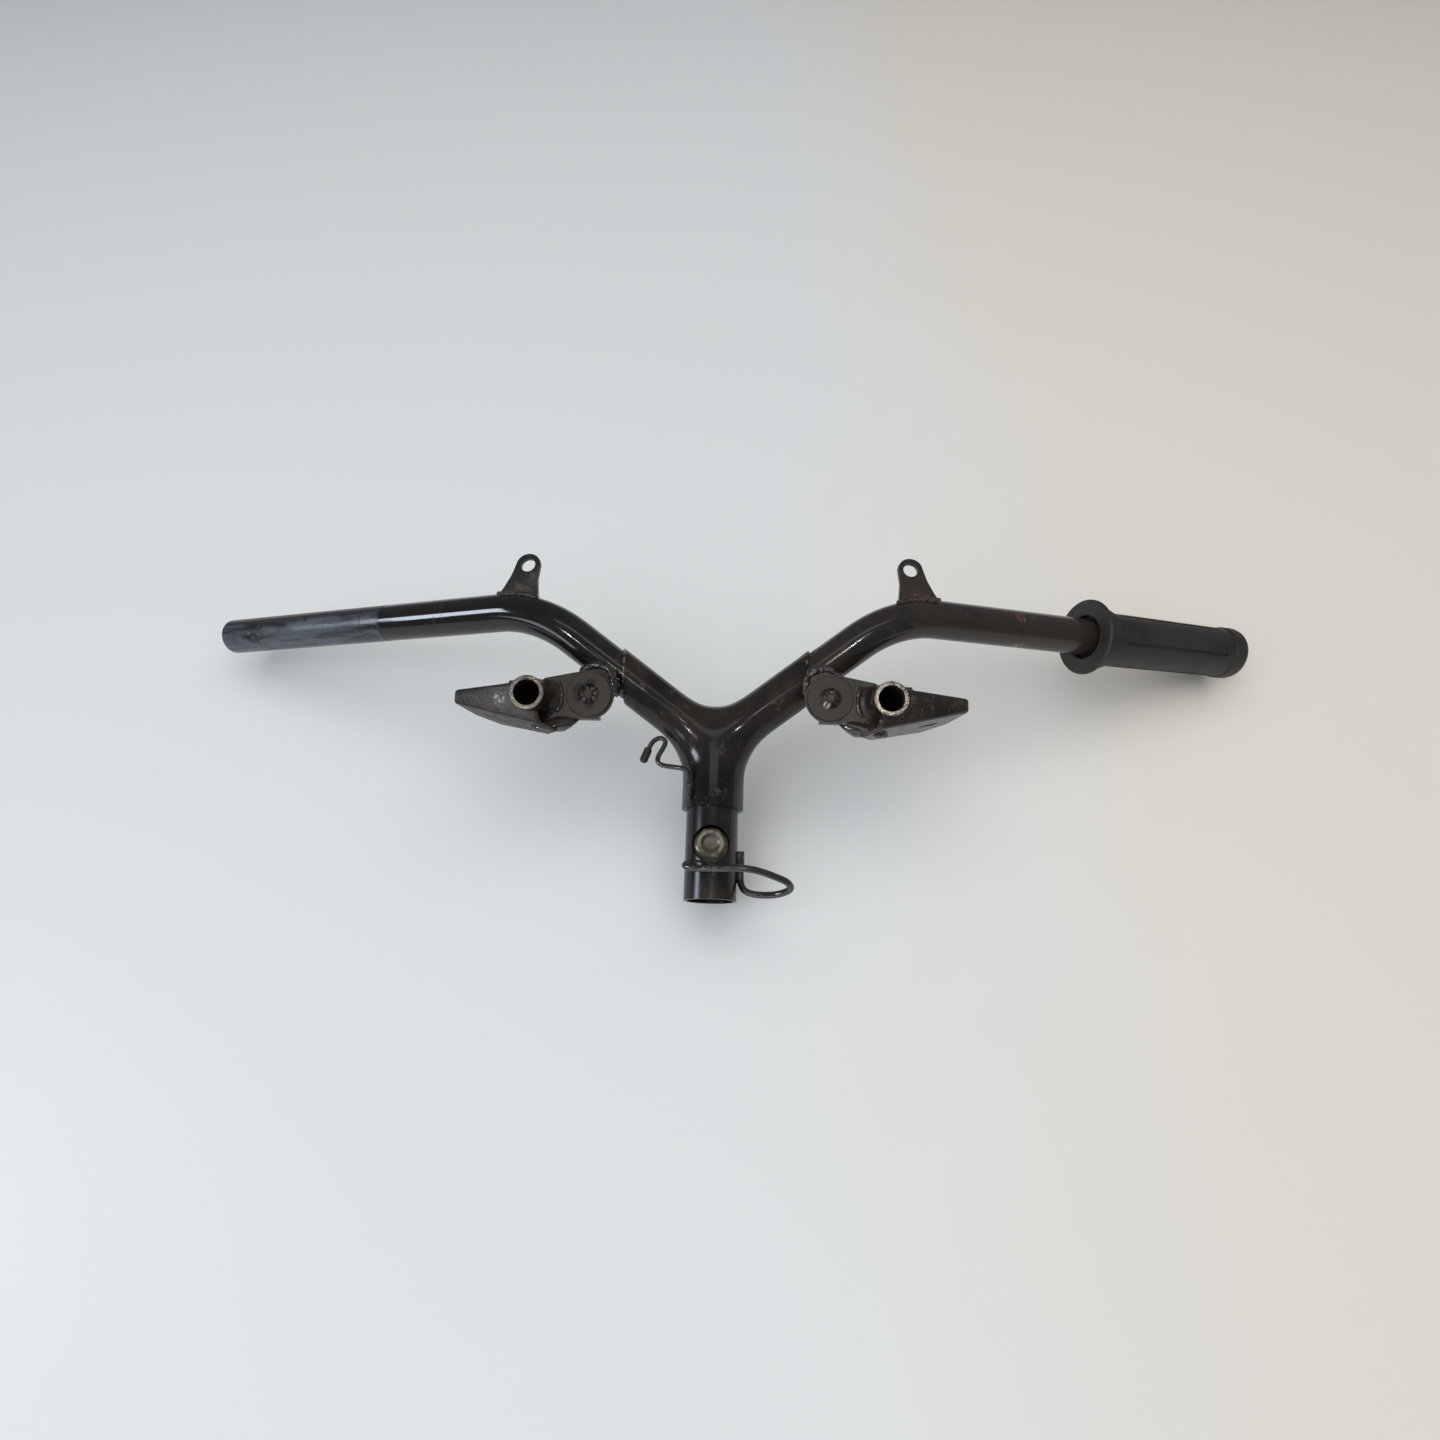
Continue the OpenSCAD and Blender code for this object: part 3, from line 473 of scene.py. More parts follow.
# the collar's own frame: X outboard, Y back along its bore, Z up
def localFrame(side):
    base = Matrix.Translation(collarRight if side > 0 else (-collarLeft[0], *collarLeft[1:]))
    turn = Matrix.Rotation(math.atan2(collarAxis[2], collarAxis[1]), 4, "X")
    return Matrix.Diagonal((side, 1, 1, 1)) @ base @ turn


# the middle of each slotted disc's front
discLeft = localFrame(-1) @ Vector([c * mm for c in discMiddle])
discRight = localFrame(1) @ Vector([c * mm for c in discMiddle])

paintSetup = {
    "black": (0.0062, 0.0062, 0.0072, 1),
    "film": (0.026, 0.0205, 0.0172, 1),
    "dust": (0.115, 0.10, 0.085, 1),
    "rust": (0.13, 0.052, 0.026, 1),
    "darkRust": (0.040, 0.019, 0.012, 1),
    # bluish grey of the rubbed streaks: part wear, part painted reflection
    "wearAndSheen": (0.085, 0.099, 0.128, 1),
    "chip": (0.17, 0.15, 0.125, 1),
    "darkTone": (0.006, 0.006, 0.008, 1),
    "filmRough": 0.06,
    "dustShare": 0.32,
    "dustRough": 0.15,
    "lineRough": 0.7,
    "rustRough": 0.85,
    "rustFrom": 0.4,
    "rustTo": 0.62,
    "edgeSoft": 0.0002,
    "grainScale": 1000.0,
    "swellScale": 60.0,
    "grainHeight": 0.02,
    "rustHeight": 0.5,
    "depth": 0.00012,
}

# the patches that break each mark of the paint
paintPatches = {
    "film": {"Scale": 22.0, "Softness": 0.18},
    "dust": {"Scale": 120.0, "Softness": 0.06},
    "edge": {"Scale": 420.0, "Cover": 0.46, "Softness": 0.04},
    "line": {"Scale": 130.0, "Cover": 0.55, "Softness": 0.08},
    "chip": {"Scale": 360.0, "Softness": 0.05},
    "darkTone": {"Scale": 260.0, "Cover": 0.52, "Softness": 0.06},
    "specks": {"Scale": 170.0, "Cover": 0.24, "Softness": 0.02},
    "rust": {"Scale": 330.0, "Softness": 0.05},
}

# the rubbed stretch of the bare bar, where the twist control sat; its rubbed streaks carry a
# painted bluish reflection and its top is painted darker as painted shade
scuffSheenShadeSetup = {
    "start": bendLeft,
    "along": outLeft,
    "from": 0.1075,
    "to": 0.26,
    "upright": (0.0528, -0.018, 0.9984),
    "low": -0.014,
    "high": 0.0035,
    "endSoft": 0.0006,
    "sideSoft": 0.0025,
    "stretch": 0.13,
    "streaks": {"Scale": 260.0, "Cover": 0.54, "Softness": 0.1},
    "broad": {"Scale": 38.0, "Cover": 0.62, "Softness": 0.2},
    "strength": 0.95,
    # how far the top of the rubbed stretch is darkened as painted shade
    "topShadeShare": 0.8,
    "roughShare": 0.8,
    "rough": 0.33,
}


# rubbed streaks that run along the bar, lightened with a painted bluish reflection and left out
# of its top, which is painted darker as painted shade
def addScuffsSheenAndShade(tree, place, colour, rough, setup):
    area = mask(
        tree, "band", place, Start=setup["start"], Direction=setup["along"],
        From=setup["from"], To=setup["to"], Softness=setup["endSoft"],
    )
    front = mask(
        tree, "band", place, Start=setup["start"], Direction=setup["upright"],
        From=setup["low"], To=setup["high"], Softness=setup["sideSoft"],
    )
    along = Vector(setup["along"]) * setup["stretch"]
    across = Vector(setup["along"]).cross(Vector(setup["upright"]))
    turned = addNode(tree, "ShaderNodeCombineXYZ")
    for index, axis in enumerate((along, Vector(setup["upright"]), across)):
        tree.links.new(vectorCalc(tree, "DOT_PRODUCT", place, axis), turned.inputs[index])
    streaks = mask(tree, "patches", turned.outputs[0], **setup["streaks"])
    broad = mask(tree, "patches", place, **setup["broad"])
    rubbed = calc(tree, "MULTIPLY", calc(tree, "MULTIPLY", area, front), broad)
    wearAndSheen = calc(tree, "MULTIPLY", calc(tree, "MULTIPLY", rubbed, streaks), setup["strength"])
    # the rubbed streaks lighten towards a bluish grey: part wear, part painted reflection
    colour = mixColour(tree, wearAndSheen, colour, paintSetup["wearAndSheen"])
    # the top of the rubbed stretch is darkened towards the dark tone as painted shade
    paintedShadeOnTop = calc(tree, "MULTIPLY", area, calc(tree, "SUBTRACT", 1.0, front))
    dark = calc(tree, "MULTIPLY", paintedShadeOnTop, setup["topShadeShare"])
    colour = mixColour(tree, dark, colour, paintSetup["darkTone"])
    rubbedRough = calc(tree, "MULTIPLY", area, setup["roughShare"])
    rough = mixValue(tree, rubbedRough, rough, setup["rough"])
    return colour, rough


# gloss black paint with brown film, dust, rust, dark blots and lines, chips, and scuffs that
# carry painted reflection and painted shade
def paintMaterial(
    name, film=0.45, dust=0.34, gloss=0.15, shine=0.5, wave=0.5,
    rust=(), blots=(), chips=(), edges=(), lines=(), scuffsSheenShade=None,
):
    material, tree = newMaterial(name)
    place = objectPlace(tree)
    setup = paintSetup
    breaks = paintPatches
    filmMask = mask(tree, "patches", place, Cover=film, **breaks["film"])
    dustMask = mask(tree, "patches", place, Cover=dust, **breaks["dust"])
    grain = noiseOut(tree, place, setup["grainScale"], 2.0, 0.6)
    swell = noiseOut(tree, place, setup["swellScale"], 2.0, 0.5)
    colour = mixColour(tree, filmMask, setup["black"], setup["film"])
    dusty = calc(tree, "MULTIPLY", dustMask, setup["dustShare"])
    colour = mixColour(tree, dusty, colour, setup["dust"])
    rough = mixValue(tree, filmMask, gloss, gloss + setup["filmRough"])
    rough = mixValue(tree, dustMask, rough, gloss + setup["dustRough"])
    if scuffsSheenShade:
        colour, rough = addScuffsSheenAndShade(tree, place, colour, rough, scuffsSheenShade)
    for stretch in edges:
        flecks = brokenBand(tree, place, stretch, setup["edgeSoft"], breaks["edge"])
        colour = mixColour(tree, flecks, colour, setup["chip"])
    for stretch in lines:
        line = brokenBand(tree, place, stretch, setup["edgeSoft"], breaks["line"])
        colour = mixColour(tree, line, colour, setup["darkTone"])
        rough = mixValue(tree, line, rough, setup["lineRough"])
    for *spot, cover in chips:
        chip = brokenSpot(tree, place, spot, {"Cover": cover, **breaks["chip"]})
        colour = mixColour(tree, chip, colour, setup["chip"])
    for spot in blots:
        darkTone = brokenSpot(tree, place, spot, breaks["darkTone"])
        colour = mixColour(tree, darkTone, colour, setup["darkTone"])
    rustMask = mask(tree, "patches", place, **breaks["specks"])
    for *spot, cover in rust:
        rusted = brokenSpot(tree, place, spot, {"Cover": cover, **breaks["rust"]})
        rustMask = calc(tree, "MAXIMUM", rustMask, rusted)
    rustTone = ramp(tree, grain, setup["rustFrom"], setup["rustTo"])
    rustColour = mixColour(tree, rustTone, setup["darkRust"], setup["rust"])
    colour = mixColour(tree, rustMask, colour, rustColour)
    rough = mixValue(tree, rustMask, rough, setup["rustRough"])
    height = calc(tree, "MULTIPLY", swell, wave)
    height = addHeight(tree, height, grain, setup["grainHeight"])
    height = addHeight(tree, height, rustMask, setup["rustHeight"])
    addSurface(tree, colour, rough, height, setup["depth"], Specular_IOR_Level=shine)
    return material


bracketSetup = {
    "black": (0.0065, 0.0058, 0.0056, 1),
    "brown": (0.025, 0.0175, 0.0135, 1),
    "dry": (0.105, 0.086, 0.069, 1),
    "rust": (0.058, 0.029, 0.017, 1),
    "steel": (0.21, 0.19, 0.165, 1),
    "pale": (0.42, 0.40, 0.36, 1),
    # near-black for painted shade in the collar bores and in the discs' slots
    "hole": (0.0015, 0.0013, 0.0012, 1),
    "dryShare": 0.42,
    "rustShare": 0.7,
    "dryRough": 0.26,
    "rustRough": 0.75,
    "rimRough": 0.25,
    "holeRough": 0.9,
    "grainScale": 1200.0,
    "grainHeight": 0.2,
    "rustHeight": 0.3,
    "depth": 0.0002,
}

# the patches that break each mark of the bracket
bracketPatches = {
    "brown": {"Scale": 55.0, "Softness": 0.14},
    "dry": {"Scale": 190.0, "Softness": 0.07},
    "rust": {"Scale": 95.0, "Softness": 0.05},
    "mark": {"Scale": 480.0, "Softness": 0.04},
    "rim": {"Scale": 240.0, "Cover": 0.62, "Softness": 0.1},
}

# the collar's bare front edge and its bore, painted dark as painted shade, measured along and
# from its axis
collarMarks = {
    "rimFrom": -0.003,
    "rimTo": -0.0011,
    "rimSoft": 0.0003,
    "boreFrom": -0.0008,
    "boreTo": 0.08,
    "boreSoft": 0.0006,
    "boreRadius": 0.0077,
}


# bracket paint gone brown; rim is a collar whose front edge is rubbed to bare steel and whose
# bore is painted dark as painted shade
def bracketMaterial(
    name, brown=0.6, dry=0.36, rust=0.32, gloss=0.27, lumps=0.5, pits=330.0, shine=0.5,
    rim=None, marks=(),
):
    material, tree = newMaterial(name)
    place = objectPlace(tree)
    setup = bracketSetup
    breaks = bracketPatches
    brownMask = mask(tree, "patches", place, Cover=brown, **breaks["brown"])
    dryMask = mask(tree, "patches", place, Cover=dry, **breaks["dry"])
    rustMask = mask(tree, "patches", place, Cover=rust, **breaks["rust"])
    grain = noiseOut(tree, place, setup["grainScale"], 3.0, 0.65)
    hammered = noiseOut(tree, place, pits, 2.0, 0.6)
    colour = mixColour(tree, brownMask, setup["black"], setup["brown"])
    dryShare = calc(tree, "MULTIPLY", dryMask, setup["dryShare"])
    colour = mixColour(tree, dryShare, colour, setup["dry"])
    rustShare = calc(tree, "MULTIPLY", rustMask, setup["rustShare"])
    colour = mixColour(tree, rustShare, colour, setup["rust"])
    rough = mixValue(tree, dryMask, gloss, gloss + setup["dryRough"])
    rough = mixValue(tree, rustMask, rough, setup["rustRough"])
    height = calc(tree, "MULTIPLY", grain, setup["grainHeight"])
    height = addHeight(tree, height, hammered, lumps)
    height = addHeight(tree, height, rustMask, setup["rustHeight"])
    for *spot, cover, tone in marks:
        marked = brokenSpot(tree, place, spot, {"Cover": cover, **breaks["mark"]})
        colour = mixColour(tree, marked, colour, setup[tone])
    metal = 0.0
    if rim:
        ends = collarMarks
        front = (rim, collarAxis, ends["rimFrom"], ends["rimTo"])
        metal = brokenBand(tree, place, front, ends["rimSoft"], breaks["rim"])
        colour = mixColour(tree, metal, colour, setup["steel"])
        rough = mixValue(tree, metal, rough, setup["rimRough"])
        within = mask(
            tree, "round", place, Start=rim, Direction=collarAxis, Radius=ends["boreRadius"]
        )
        inside = mask(
            tree, "band", place, Start=rim, Direction=collarAxis,
            From=ends["boreFrom"], To=ends["boreTo"], Softness=ends["boreSoft"],
        )
        # the bore is painted near-black as painted shade
        paintedBoreShade = calc(tree, "MULTIPLY", within, inside)
        colour = mixColour(tree, paintedBoreShade, colour, setup["hole"])
        rough = mixValue(tree, paintedBoreShade, rough, setup["holeRough"])
    surface = addSurface(tree, colour, rough, height, setup["depth"], Specular_IOR_Level=shine)
    feed(tree, surface.inputs["Metallic"], metal)
    return material


rubberSetup = {
    "dark": (0.0105, 0.0096, 0.0092, 1),
    "dusty": (0.026, 0.023, 0.021, 1),
    "speck": (0.09, 0.08, 0.07, 1),
    "film": {"Scale": 45.0, "Softness": 0.22},
    "specks": {"Scale": 300.0, "Cover": 0.3, "Softness": 0.03},
    "speckShare": 0.5,
    "dustRough": 0.2,
    "grainScale": 1500.0,
    "depth": 0.00006,
}


def rubberMaterial(name, dust=0.5, gloss=0.42):
    material, tree = newMaterial(name)
    place = objectPlace(tree)
    setup = rubberSetup
    dustMask = mask(tree, "patches", place, Cover=dust, **setup["film"])
    specks = mask(tree, "patches", place, **setup["specks"])
    grain = noiseOut(tree, place, setup["grainScale"], 2.0, 0.6)
    colour = mixColour(tree, dustMask, setup["dark"], setup["dusty"])
    speckled = calc(tree, "MULTIPLY", specks, setup["speckShare"])
    colour = mixColour(tree, speckled, colour, setup["speck"])
    rough = mixValue(tree, dustMask, gloss, gloss + setup["dustRough"])
    addSurface(tree, colour, rough, grain, setup["depth"], IOR=1.5)
    return material


zincSetup = {
    "metal": (0.27, 0.25, 0.215, 1),
    "dirt": (0.055, 0.042, 0.032, 1),
    "patches": {"Scale": 170.0, "Softness": 0.14},
    "dishRadius": 0.0055,
    "dishSoft": 0.0004,
    "dishShare": 0.6,
    "cleanRough": 0.33,
    "dirtRough": 0.62,
    "cleanMetal": 0.9,
    "dirtMetal": 0.2,
    "grainScale": 900.0,
    "grainHeight": 0.4,
    "dirtHeight": 0.3,
    "depth": 0.0001,
}


# dirty zinc; dish is the middle of a bolt head's hollow, which is made darker
def zincMaterial(name, dirt=0.5, dish=None):
    material, tree = newMaterial(name)
    place = objectPlace(tree)
    setup = zincSetup
    dirtMask = mask(tree, "patches", place, Cover=dirt, **setup["patches"])
    grain = noiseOut(tree, place, setup["grainScale"], 3.0, 0.6)
    colour = mixColour(tree, dirtMask, setup["metal"], setup["dirt"])
    if dish:
        hollow = mask(
            tree, "round", place, Start=dish, Direction=(0, 1, 0),
            Radius=setup["dishRadius"], Softness=setup["dishSoft"],
        )
        darkerHollow = calc(tree, "MULTIPLY", hollow, setup["dishShare"])
        colour = mixColour(tree, darkerHollow, colour, setup["dirt"])
    rough = mixValue(tree, dirtMask, setup["cleanRough"], setup["dirtRough"])
    height = calc(tree, "MULTIPLY", grain, setup["grainHeight"])
    height = addHeight(tree, height, dirtMask, setup["dirtHeight"])
    surface = addSurface(tree, colour, rough, height, setup["depth"], IOR=1.5)
    metal = mixValue(tree, dirtMask, setup["cleanMetal"], setup["dirtMetal"])
    feed(tree, surface.inputs["Metallic"], metal)
    return material


materials = {
    "leftTube": paintMaterial(
        "leftTubePaint",
        film=0.34,
        dust=0.27,
        gloss=0.1,
        scuffsSheenShade=scuffSheenShadeSetup,
        lines=[
            (bendLeft, outLeft, 0.1072, 0.1084),
            (bendLeft, outLeft, 0.0657, 0.0661),
            (bendLeft, outLeft, 0.1215, 0.1222),
            (bendLeft, outLeft, 0.1508, 0.1512),
        ],
        blots=[
            ((-0.2117, 0.013, 0.1548), 0.0050, 0.002),
            ((-0.263, 0.0197, 0.1721), 0.0028, 0.001),
            ((-0.2815, 0.0256, 0.1682), 0.0025, 0.001),
            ((-0.3044, 0.034, 0.1674), 0.009, 0.004),
        ],
        rust=[((-0.0544, -0.0202, 0.125), 0.005, 0.003, 0.4)],
    ),
    "rightTube": paintMaterial(
        "rightTubePaint",
        film=0.62,
        dust=0.33,
        gloss=0.12,
        rust=[
            ((0.1772, -0.0095, 0.1668), 0.0032, 0.001, 0.62),
            ((0.1147, -0.0281, 0.1652), 0.006, 0.003, 0.36),
            ((0.0551, -0.0187, 0.1388), 0.0045, 0.002, 0.5),
        ],
        chips=[
            ((0.1768, 0.0016, 0.1527), 0.004, 0.002, 0.5),
            ((0.1785, -0.0095, 0.1668), 0.0034, 0.001, 0.42),
        ],
    ),
    "lug": paintMaterial(
        "lugPaint",
        film=0.5,
        dust=0.34,
        gloss=0.11,
        shine=0.3,
        wave=0.6,
        edges=[
            ((-0.0515, 0, 0), (-1, 0, 0), -0.0008, 0.001),
            ((0.0515, 0, 0), (1, 0, 0), -0.0008, 0.001),
        ],
        rust=[
            ((0.0535, -0.019, 0.138), 0.005, 0.002, 0.55),
            ((-0.0515, -0.023, 0.122), 0.006, 0.003, 0.34),
            ((0.0, 0.0, 0.0495), 0.0165, 0.002, 0.32),
        ],
    ),
    "stem": paintMaterial("stemPaint", film=0.5, dust=0.34, gloss=0.2, shine=0.36),
    "wire": paintMaterial("wirePaint", film=0.5, dust=0.4, gloss=0.12, shine=0.8),
    "leftTab": paintMaterial("leftTabPaint", film=0.6, dust=0.42, gloss=0.3),
    "rightTab": paintMaterial(
        "rightTabPaint",
        film=0.6,
        dust=0.36,
        gloss=0.3,
        rust=[((0.115, -0.0245, 0.168), 0.007, 0.004, 0.46)],
    ),
    "bracket": bracketMaterial("bracketPaint", gloss=0.34, shine=0.36, lumps=1.0, dry=0.34),
    "leftWedge": bracketMaterial(
        "leftWedgePaint", gloss=0.38, shine=0.3, lumps=1.6, pits=620.0, dry=0.42, rust=0.3,
        marks=[((-0.1164, -0.0327, 0.1017), 0.0032, 0.0015, 0.46, "pale")],
    ),
    "rightWedge": bracketMaterial(
        "rightWedgePaint", gloss=0.17, shine=0.6, lumps=1.3, pits=620.0, dry=0.38, rust=0.26,
    ),
    "leftDisc": bracketMaterial(
        "leftDiscPaint", brown=0.72, dry=0.28, rust=0.26, gloss=0.4, lumps=0.12, shine=0.35,
        # the near-black marks paint the slots' dark openings as painted shade
        marks=[
            (discLeft, 0.0040, 0.0012, 0.66, "dry"),
            (discLeft + Vector((-0.0048, 0, 0.0022)), 0.0036, 0.0006, 0.66, "hole"),
            (discLeft + Vector((0.0008, 0, 0.0058)), 0.0030, 0.0006, 0.62, "hole"),
            (discLeft + Vector((0.0006, 0, -0.0056)), 0.0030, 0.0006, 0.60, "hole"),
            (discLeft + Vector((-0.0062, 0, -0.0030)), 0.0022, 0.0006, 0.56, "hole"),
        ],
    ),
    "rightDisc": bracketMaterial(
        "rightDiscPaint", brown=0.72, dry=0.3, rust=0.26, gloss=0.4, lumps=0.12, shine=0.35,
        # the near-black marks paint the slots' dark openings as painted shade
        marks=[
            (discRight, 0.0062, 0.001, 0.56, "hole"),
            (discRight, 0.0034, 0.001, 0.6, "dry"),
            (discRight + Vector((-0.0022, 0, -0.0040)), 0.0018, 0.0006, 0.62, "pale"),
            (discRight + Vector((0.0004, 0, 0.0024)), 0.0014, 0.0006, 0.6, "pale"),
        ],
    ),
    "leftCollar": bracketMaterial("leftCollarPaint", rust=0.42, gloss=0.3, rim=collarLeft),
    "rightCollar": bracketMaterial("rightCollarPaint", rust=0.42, gloss=0.3, rim=collarRight),
    "weld": bracketMaterial(
        "weldPaint", brown=0.6, dry=0.26, rust=0.24, gloss=0.1, lumps=2.6, shine=1.0,
    ),
    "grip": rubberMaterial("gripRubber"),
    "cap": rubberMaterial("capRubber", dust=0.3),
    "zinc": zincMaterial("boltZinc", dish=(0, 0, 0.029)),
    "spatter": zincMaterial("weldSpatter", dirt=0.25),
}
print("materials made")

nodeMaterials = {
    "left_bar_tube": "leftTube",
    "right_bar_tube": "rightTube",
    "lug_front_shell": "lug",
    "lug_rear_shell": "lug",
    "stem_tube": "stem",
    "stem_bolt": "zinc",
    "stem_nut": "zinc",
    "cable_ring": "wire",
    "cable_hook": "wire",
    "hook_cap": "cap",
    "left_tab": "leftTab",
    "right_tab": "rightTab",
    "grip": "grip",
}
for side in ("left", "right"):
    for part in ("link", "pin", "boss"):
        nodeMaterials[f"{side}_{part}"] = "bracket"
    nodeMaterials[f"{side}_disc"] = f"{side}Disc"
    nodeMaterials[f"{side}_wedge"] = f"{side}Wedge"
    nodeMaterials[f"{side}_collar"] = f"{side}Collar"

for nodeName, materialName in nodeMaterials.items():
    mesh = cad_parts[nodeName].data
    mesh.materials.clear()
    mesh.materials.append(materials[materialName])

# smooth copies stand for the nodes that were built from flat faces
smoothSetup = {
    "lug_front_shell": {"piece": "lugFront", "slot": "black_paint", "sharp": 40, "levels": 1},
    "lug_rear_shell": {"piece": "lugRear", "slot": "black_paint", "sharp": 40, "levels": 1},
    "cable_ring": {"piece": "cableRing", "slot": "black_paint", "sharp": 60, "levels": 1},
    "cable_hook": {"piece": "cableHook", "slot": "black_paint", "sharp": 60, "levels": 1},
    "left_wedge": {"piece": "leftWedge", "slot": "rusty_bracket", "sharp": 32, "levels": 0},
    "right_wedge": {"piece": "rightWedge", "slot": "rusty_bracket", "sharp": 32, "levels": 0},
}
joinSetup = {"gap": 2e-6, "faceAngle": 24, "shapeAngle": 60}


def addPiece(name, bm, materialName):
    for face in bm.faces:
        face.smooth = True
    mesh = bpy.data.meshes.new(name)
    bm.to_mesh(mesh)
    bm.free()
    mesh.materials.append(materials[materialName])
    piece = bpy.data.objects.new(name, mesh)
    scene.collection.objects.link(piece)
    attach(piece, "root")
    return piece


def smoothCopy(nodeName, setup):
    bm = bmesh.new()
    bm.from_mesh(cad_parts[nodeName].data)
    bmesh.ops.remove_doubles(bm, verts=bm.verts, dist=joinSetup["gap"])
    bmesh.ops.join_triangles(
        bm,
        faces=bm.faces,
        angle_face_threshold=math.radians(joinSetup["faceAngle"]),
        angle_shape_threshold=math.radians(joinSetup["shapeAngle"]),
    )
    limit = math.radians(setup["sharp"])
    crease = bm.edges.layers.float.new("crease_edge")
    for edge in bm.edges:
        hard = len(edge.link_faces) != 2 or edge.calc_face_angle(0) > limit
        edge.smooth = not hard
        edge[crease] = 1.0 if hard else 0.0
    piece = addPiece(setup["piece"], bm, nodeMaterials[nodeName])
    if setup["levels"]:
        rounder = piece.modifiers.new("round", "SUBSURF")
        rounder.levels = setup["levels"]
        rounder.render_levels = setup["levels"]
    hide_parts(nodeName)


for nodeName, setup in smoothSetup.items():
    smoothCopy(nodeName, setup)
print("smooth pieces made")


beadSetup = {
    "sides": 10,
    "step": 0.0004,
    "fewest": 6,
    "thin": 0.86,
    "swell": 0.14,
    "tip": 0.08,
    "grain": 420,
}


# weld bead: a rippled cord along a line of points, round at its ends
def addBead(bm, points, radius, ripple, rough, seed, setup=beadSetup):
    line = [Vector(point) for point in points]
    lengths = [0.0]
    for a, b in zip(line, line[1:]):
        lengths.append(lengths[-1] + (b - a).length)
    total = lengths[-1]
    count = max(setup["fewest"], int(total / setup["step"]))
    rings = []
    sides = setup["sides"]
    side = None
    for i in range(count + 1):
        s = total * i / count
        k = max(j for j in range(len(line) - 1) if lengths[j] <= s + 1e-12)
        t = (s - lengths[k]) / max(lengths[k + 1] - lengths[k], 1e-9)
        centre = line[k].lerp(line[k + 1], t)
        ahead = (line[k + 1] - line[k]).normalized()
        if side is None:
            side = ahead.orthogonal().normalized()
        side = (side - ahead * side.dot(ahead)).normalized()
        other = ahead.cross(side)
        end = min(s, total - s) / radius
        cap = math.sqrt(max(0.0, 1 - (1 - min(end, 1.0)) ** 2))
        swell = setup["thin"] + setup["swell"] * abs(math.sin(math.pi * s / ripple))
        reach = max(setup["tip"], cap)
        ring = []
        for j in range(sides):
            turn = 2 * math.pi * j / sides
            out = side * math.cos(turn) + other * math.sin(turn)
            seat = centre + out * radius
            bump = noise.noise(seat * setup["grain"] + Vector((seed, 0, 0))) * rough
            ring.append(bm.verts.new(centre + out * radius * reach * swell * (1 + bump)))
        rings.append(ring)
    for a, b in zip(rings, rings[1:]):
        for j in range(sides):
            k = (j + 1) % sides
            bm.faces.new((a[j], a[k], b[k], b[j]))
    bm.faces.new(list(reversed(rings[0])))
    bm.faces.new(rings[-1])


# points along an arc round the bore's direction
def arcPoints(arc, steps=24):
    points = []
    for i in range(steps + 1):
        turn = math.radians(arc["from"] + (arc["to"] - arc["from"]) * i / steps)
        x = arc["centre"][0] + arc["radius"] * math.cos(turn)
        z = arc["centre"][1] + arc["radius"] * math.sin(turn)
        points.append((x, arc["y"], z))
    return points


# bracket welds in the collar's frame, in millimetres and degrees; ripple in metres
bracketWeldSetup = {
    "boss": {
        "centre": (-33.8, 9.0), "radius": 9.4, "from": -25, "to": 205, "y": 17.2, "bead": 2.3,
    },
    "bossBack": {
        "centre": (-33.8, 9.0), "radius": 9.6, "from": 10, "to": 215, "y": 23.5, "bead": 2.5,
    },
    "collar": {
        "centre": (0, 0), "radius": 10.2, "from": 150, "to": 236, "y": 13.6, "bead": 1.5,
    },
    "flare": {
        "centre": (0, 0), "radius": 15.6, "from": 148, "to": 214, "y": 14.0, "bead": 1.2,
    },
    "ripple": 0.0031,
    "rough": 0.6,
    "fill": [
        (-12.5, 8.0, -17.6), (-25.5, 15.2, -12.6), (-7.5, 14.4, -11.6), (-1.0, 14.0, -12.2),
        (0.5, 13.0, -18.6), (-6.5, 12.0, -18.4), (-9.0, 16.0, -19.0), (-20.0, 17.0, -13.2),
    ],
    "fillDepth": 0.6,
    "fillCuts": 4,
    "fillSmooth": 0.3,
    "fillGrain": 700,
}


# a lump of weld over the given corners, roughened and joined to the beads
def addFill(bm, points, setup, seed):
    part = bmesh.new()
    for point in points:
        part.verts.new(point)
    bmesh.ops.convex_hull(part, input=part.verts)
    loose = [vert for vert in part.verts if not vert.link_faces]
    bmesh.ops.delete(part, geom=loose, context="VERTS")
    bmesh.ops.subdivide_edges(
        part,
        edges=part.edges,
        cuts=setup["fillCuts"],
        use_grid_fill=True,
        smooth=setup["fillSmooth"],
    )
    part.normal_update()
    depth = setup["fillDepth"] * mm
    for vert in part.verts:
        spot = vert.co * setup["fillGrain"] + Vector((seed, 0, 0))
        vert.co += vert.normal * depth * noise.noise(spot)
    mesh = bpy.data.meshes.new("scratch")
    part.to_mesh(mesh)
    part.free()
    bm.from_mesh(mesh)
    bpy.data.meshes.remove(mesh)


def addBracketWelds(name, side, setup):
    bm = bmesh.new()
    for index, part in enumerate(("boss", "bossBack", "collar", "flare")):
        values = setup[part]
        points = [[c * mm for c in point] for point in arcPoints(values)]
        seed = index * 7 + side
        addBead(bm, points, values["bead"] * mm, setup["ripple"], setup["rough"], seed)
    corners = [[c * mm for c in point] for point in setup["fill"]]
    addFill(bm, corners, setup, side)
    bmesh.ops.transform(bm, matrix=localFrame(side), verts=bm.verts)
    if side < 0:
        bmesh.ops.reverse_faces(bm, faces=bm.faces)
    addPiece(name, bm, "weld")


addBracketWelds("leftBracketWelds", -1, bracketWeldSetup)
addBracketWelds("rightBracketWelds", 1, bracketWeldSetup)
print("bracket welds made")


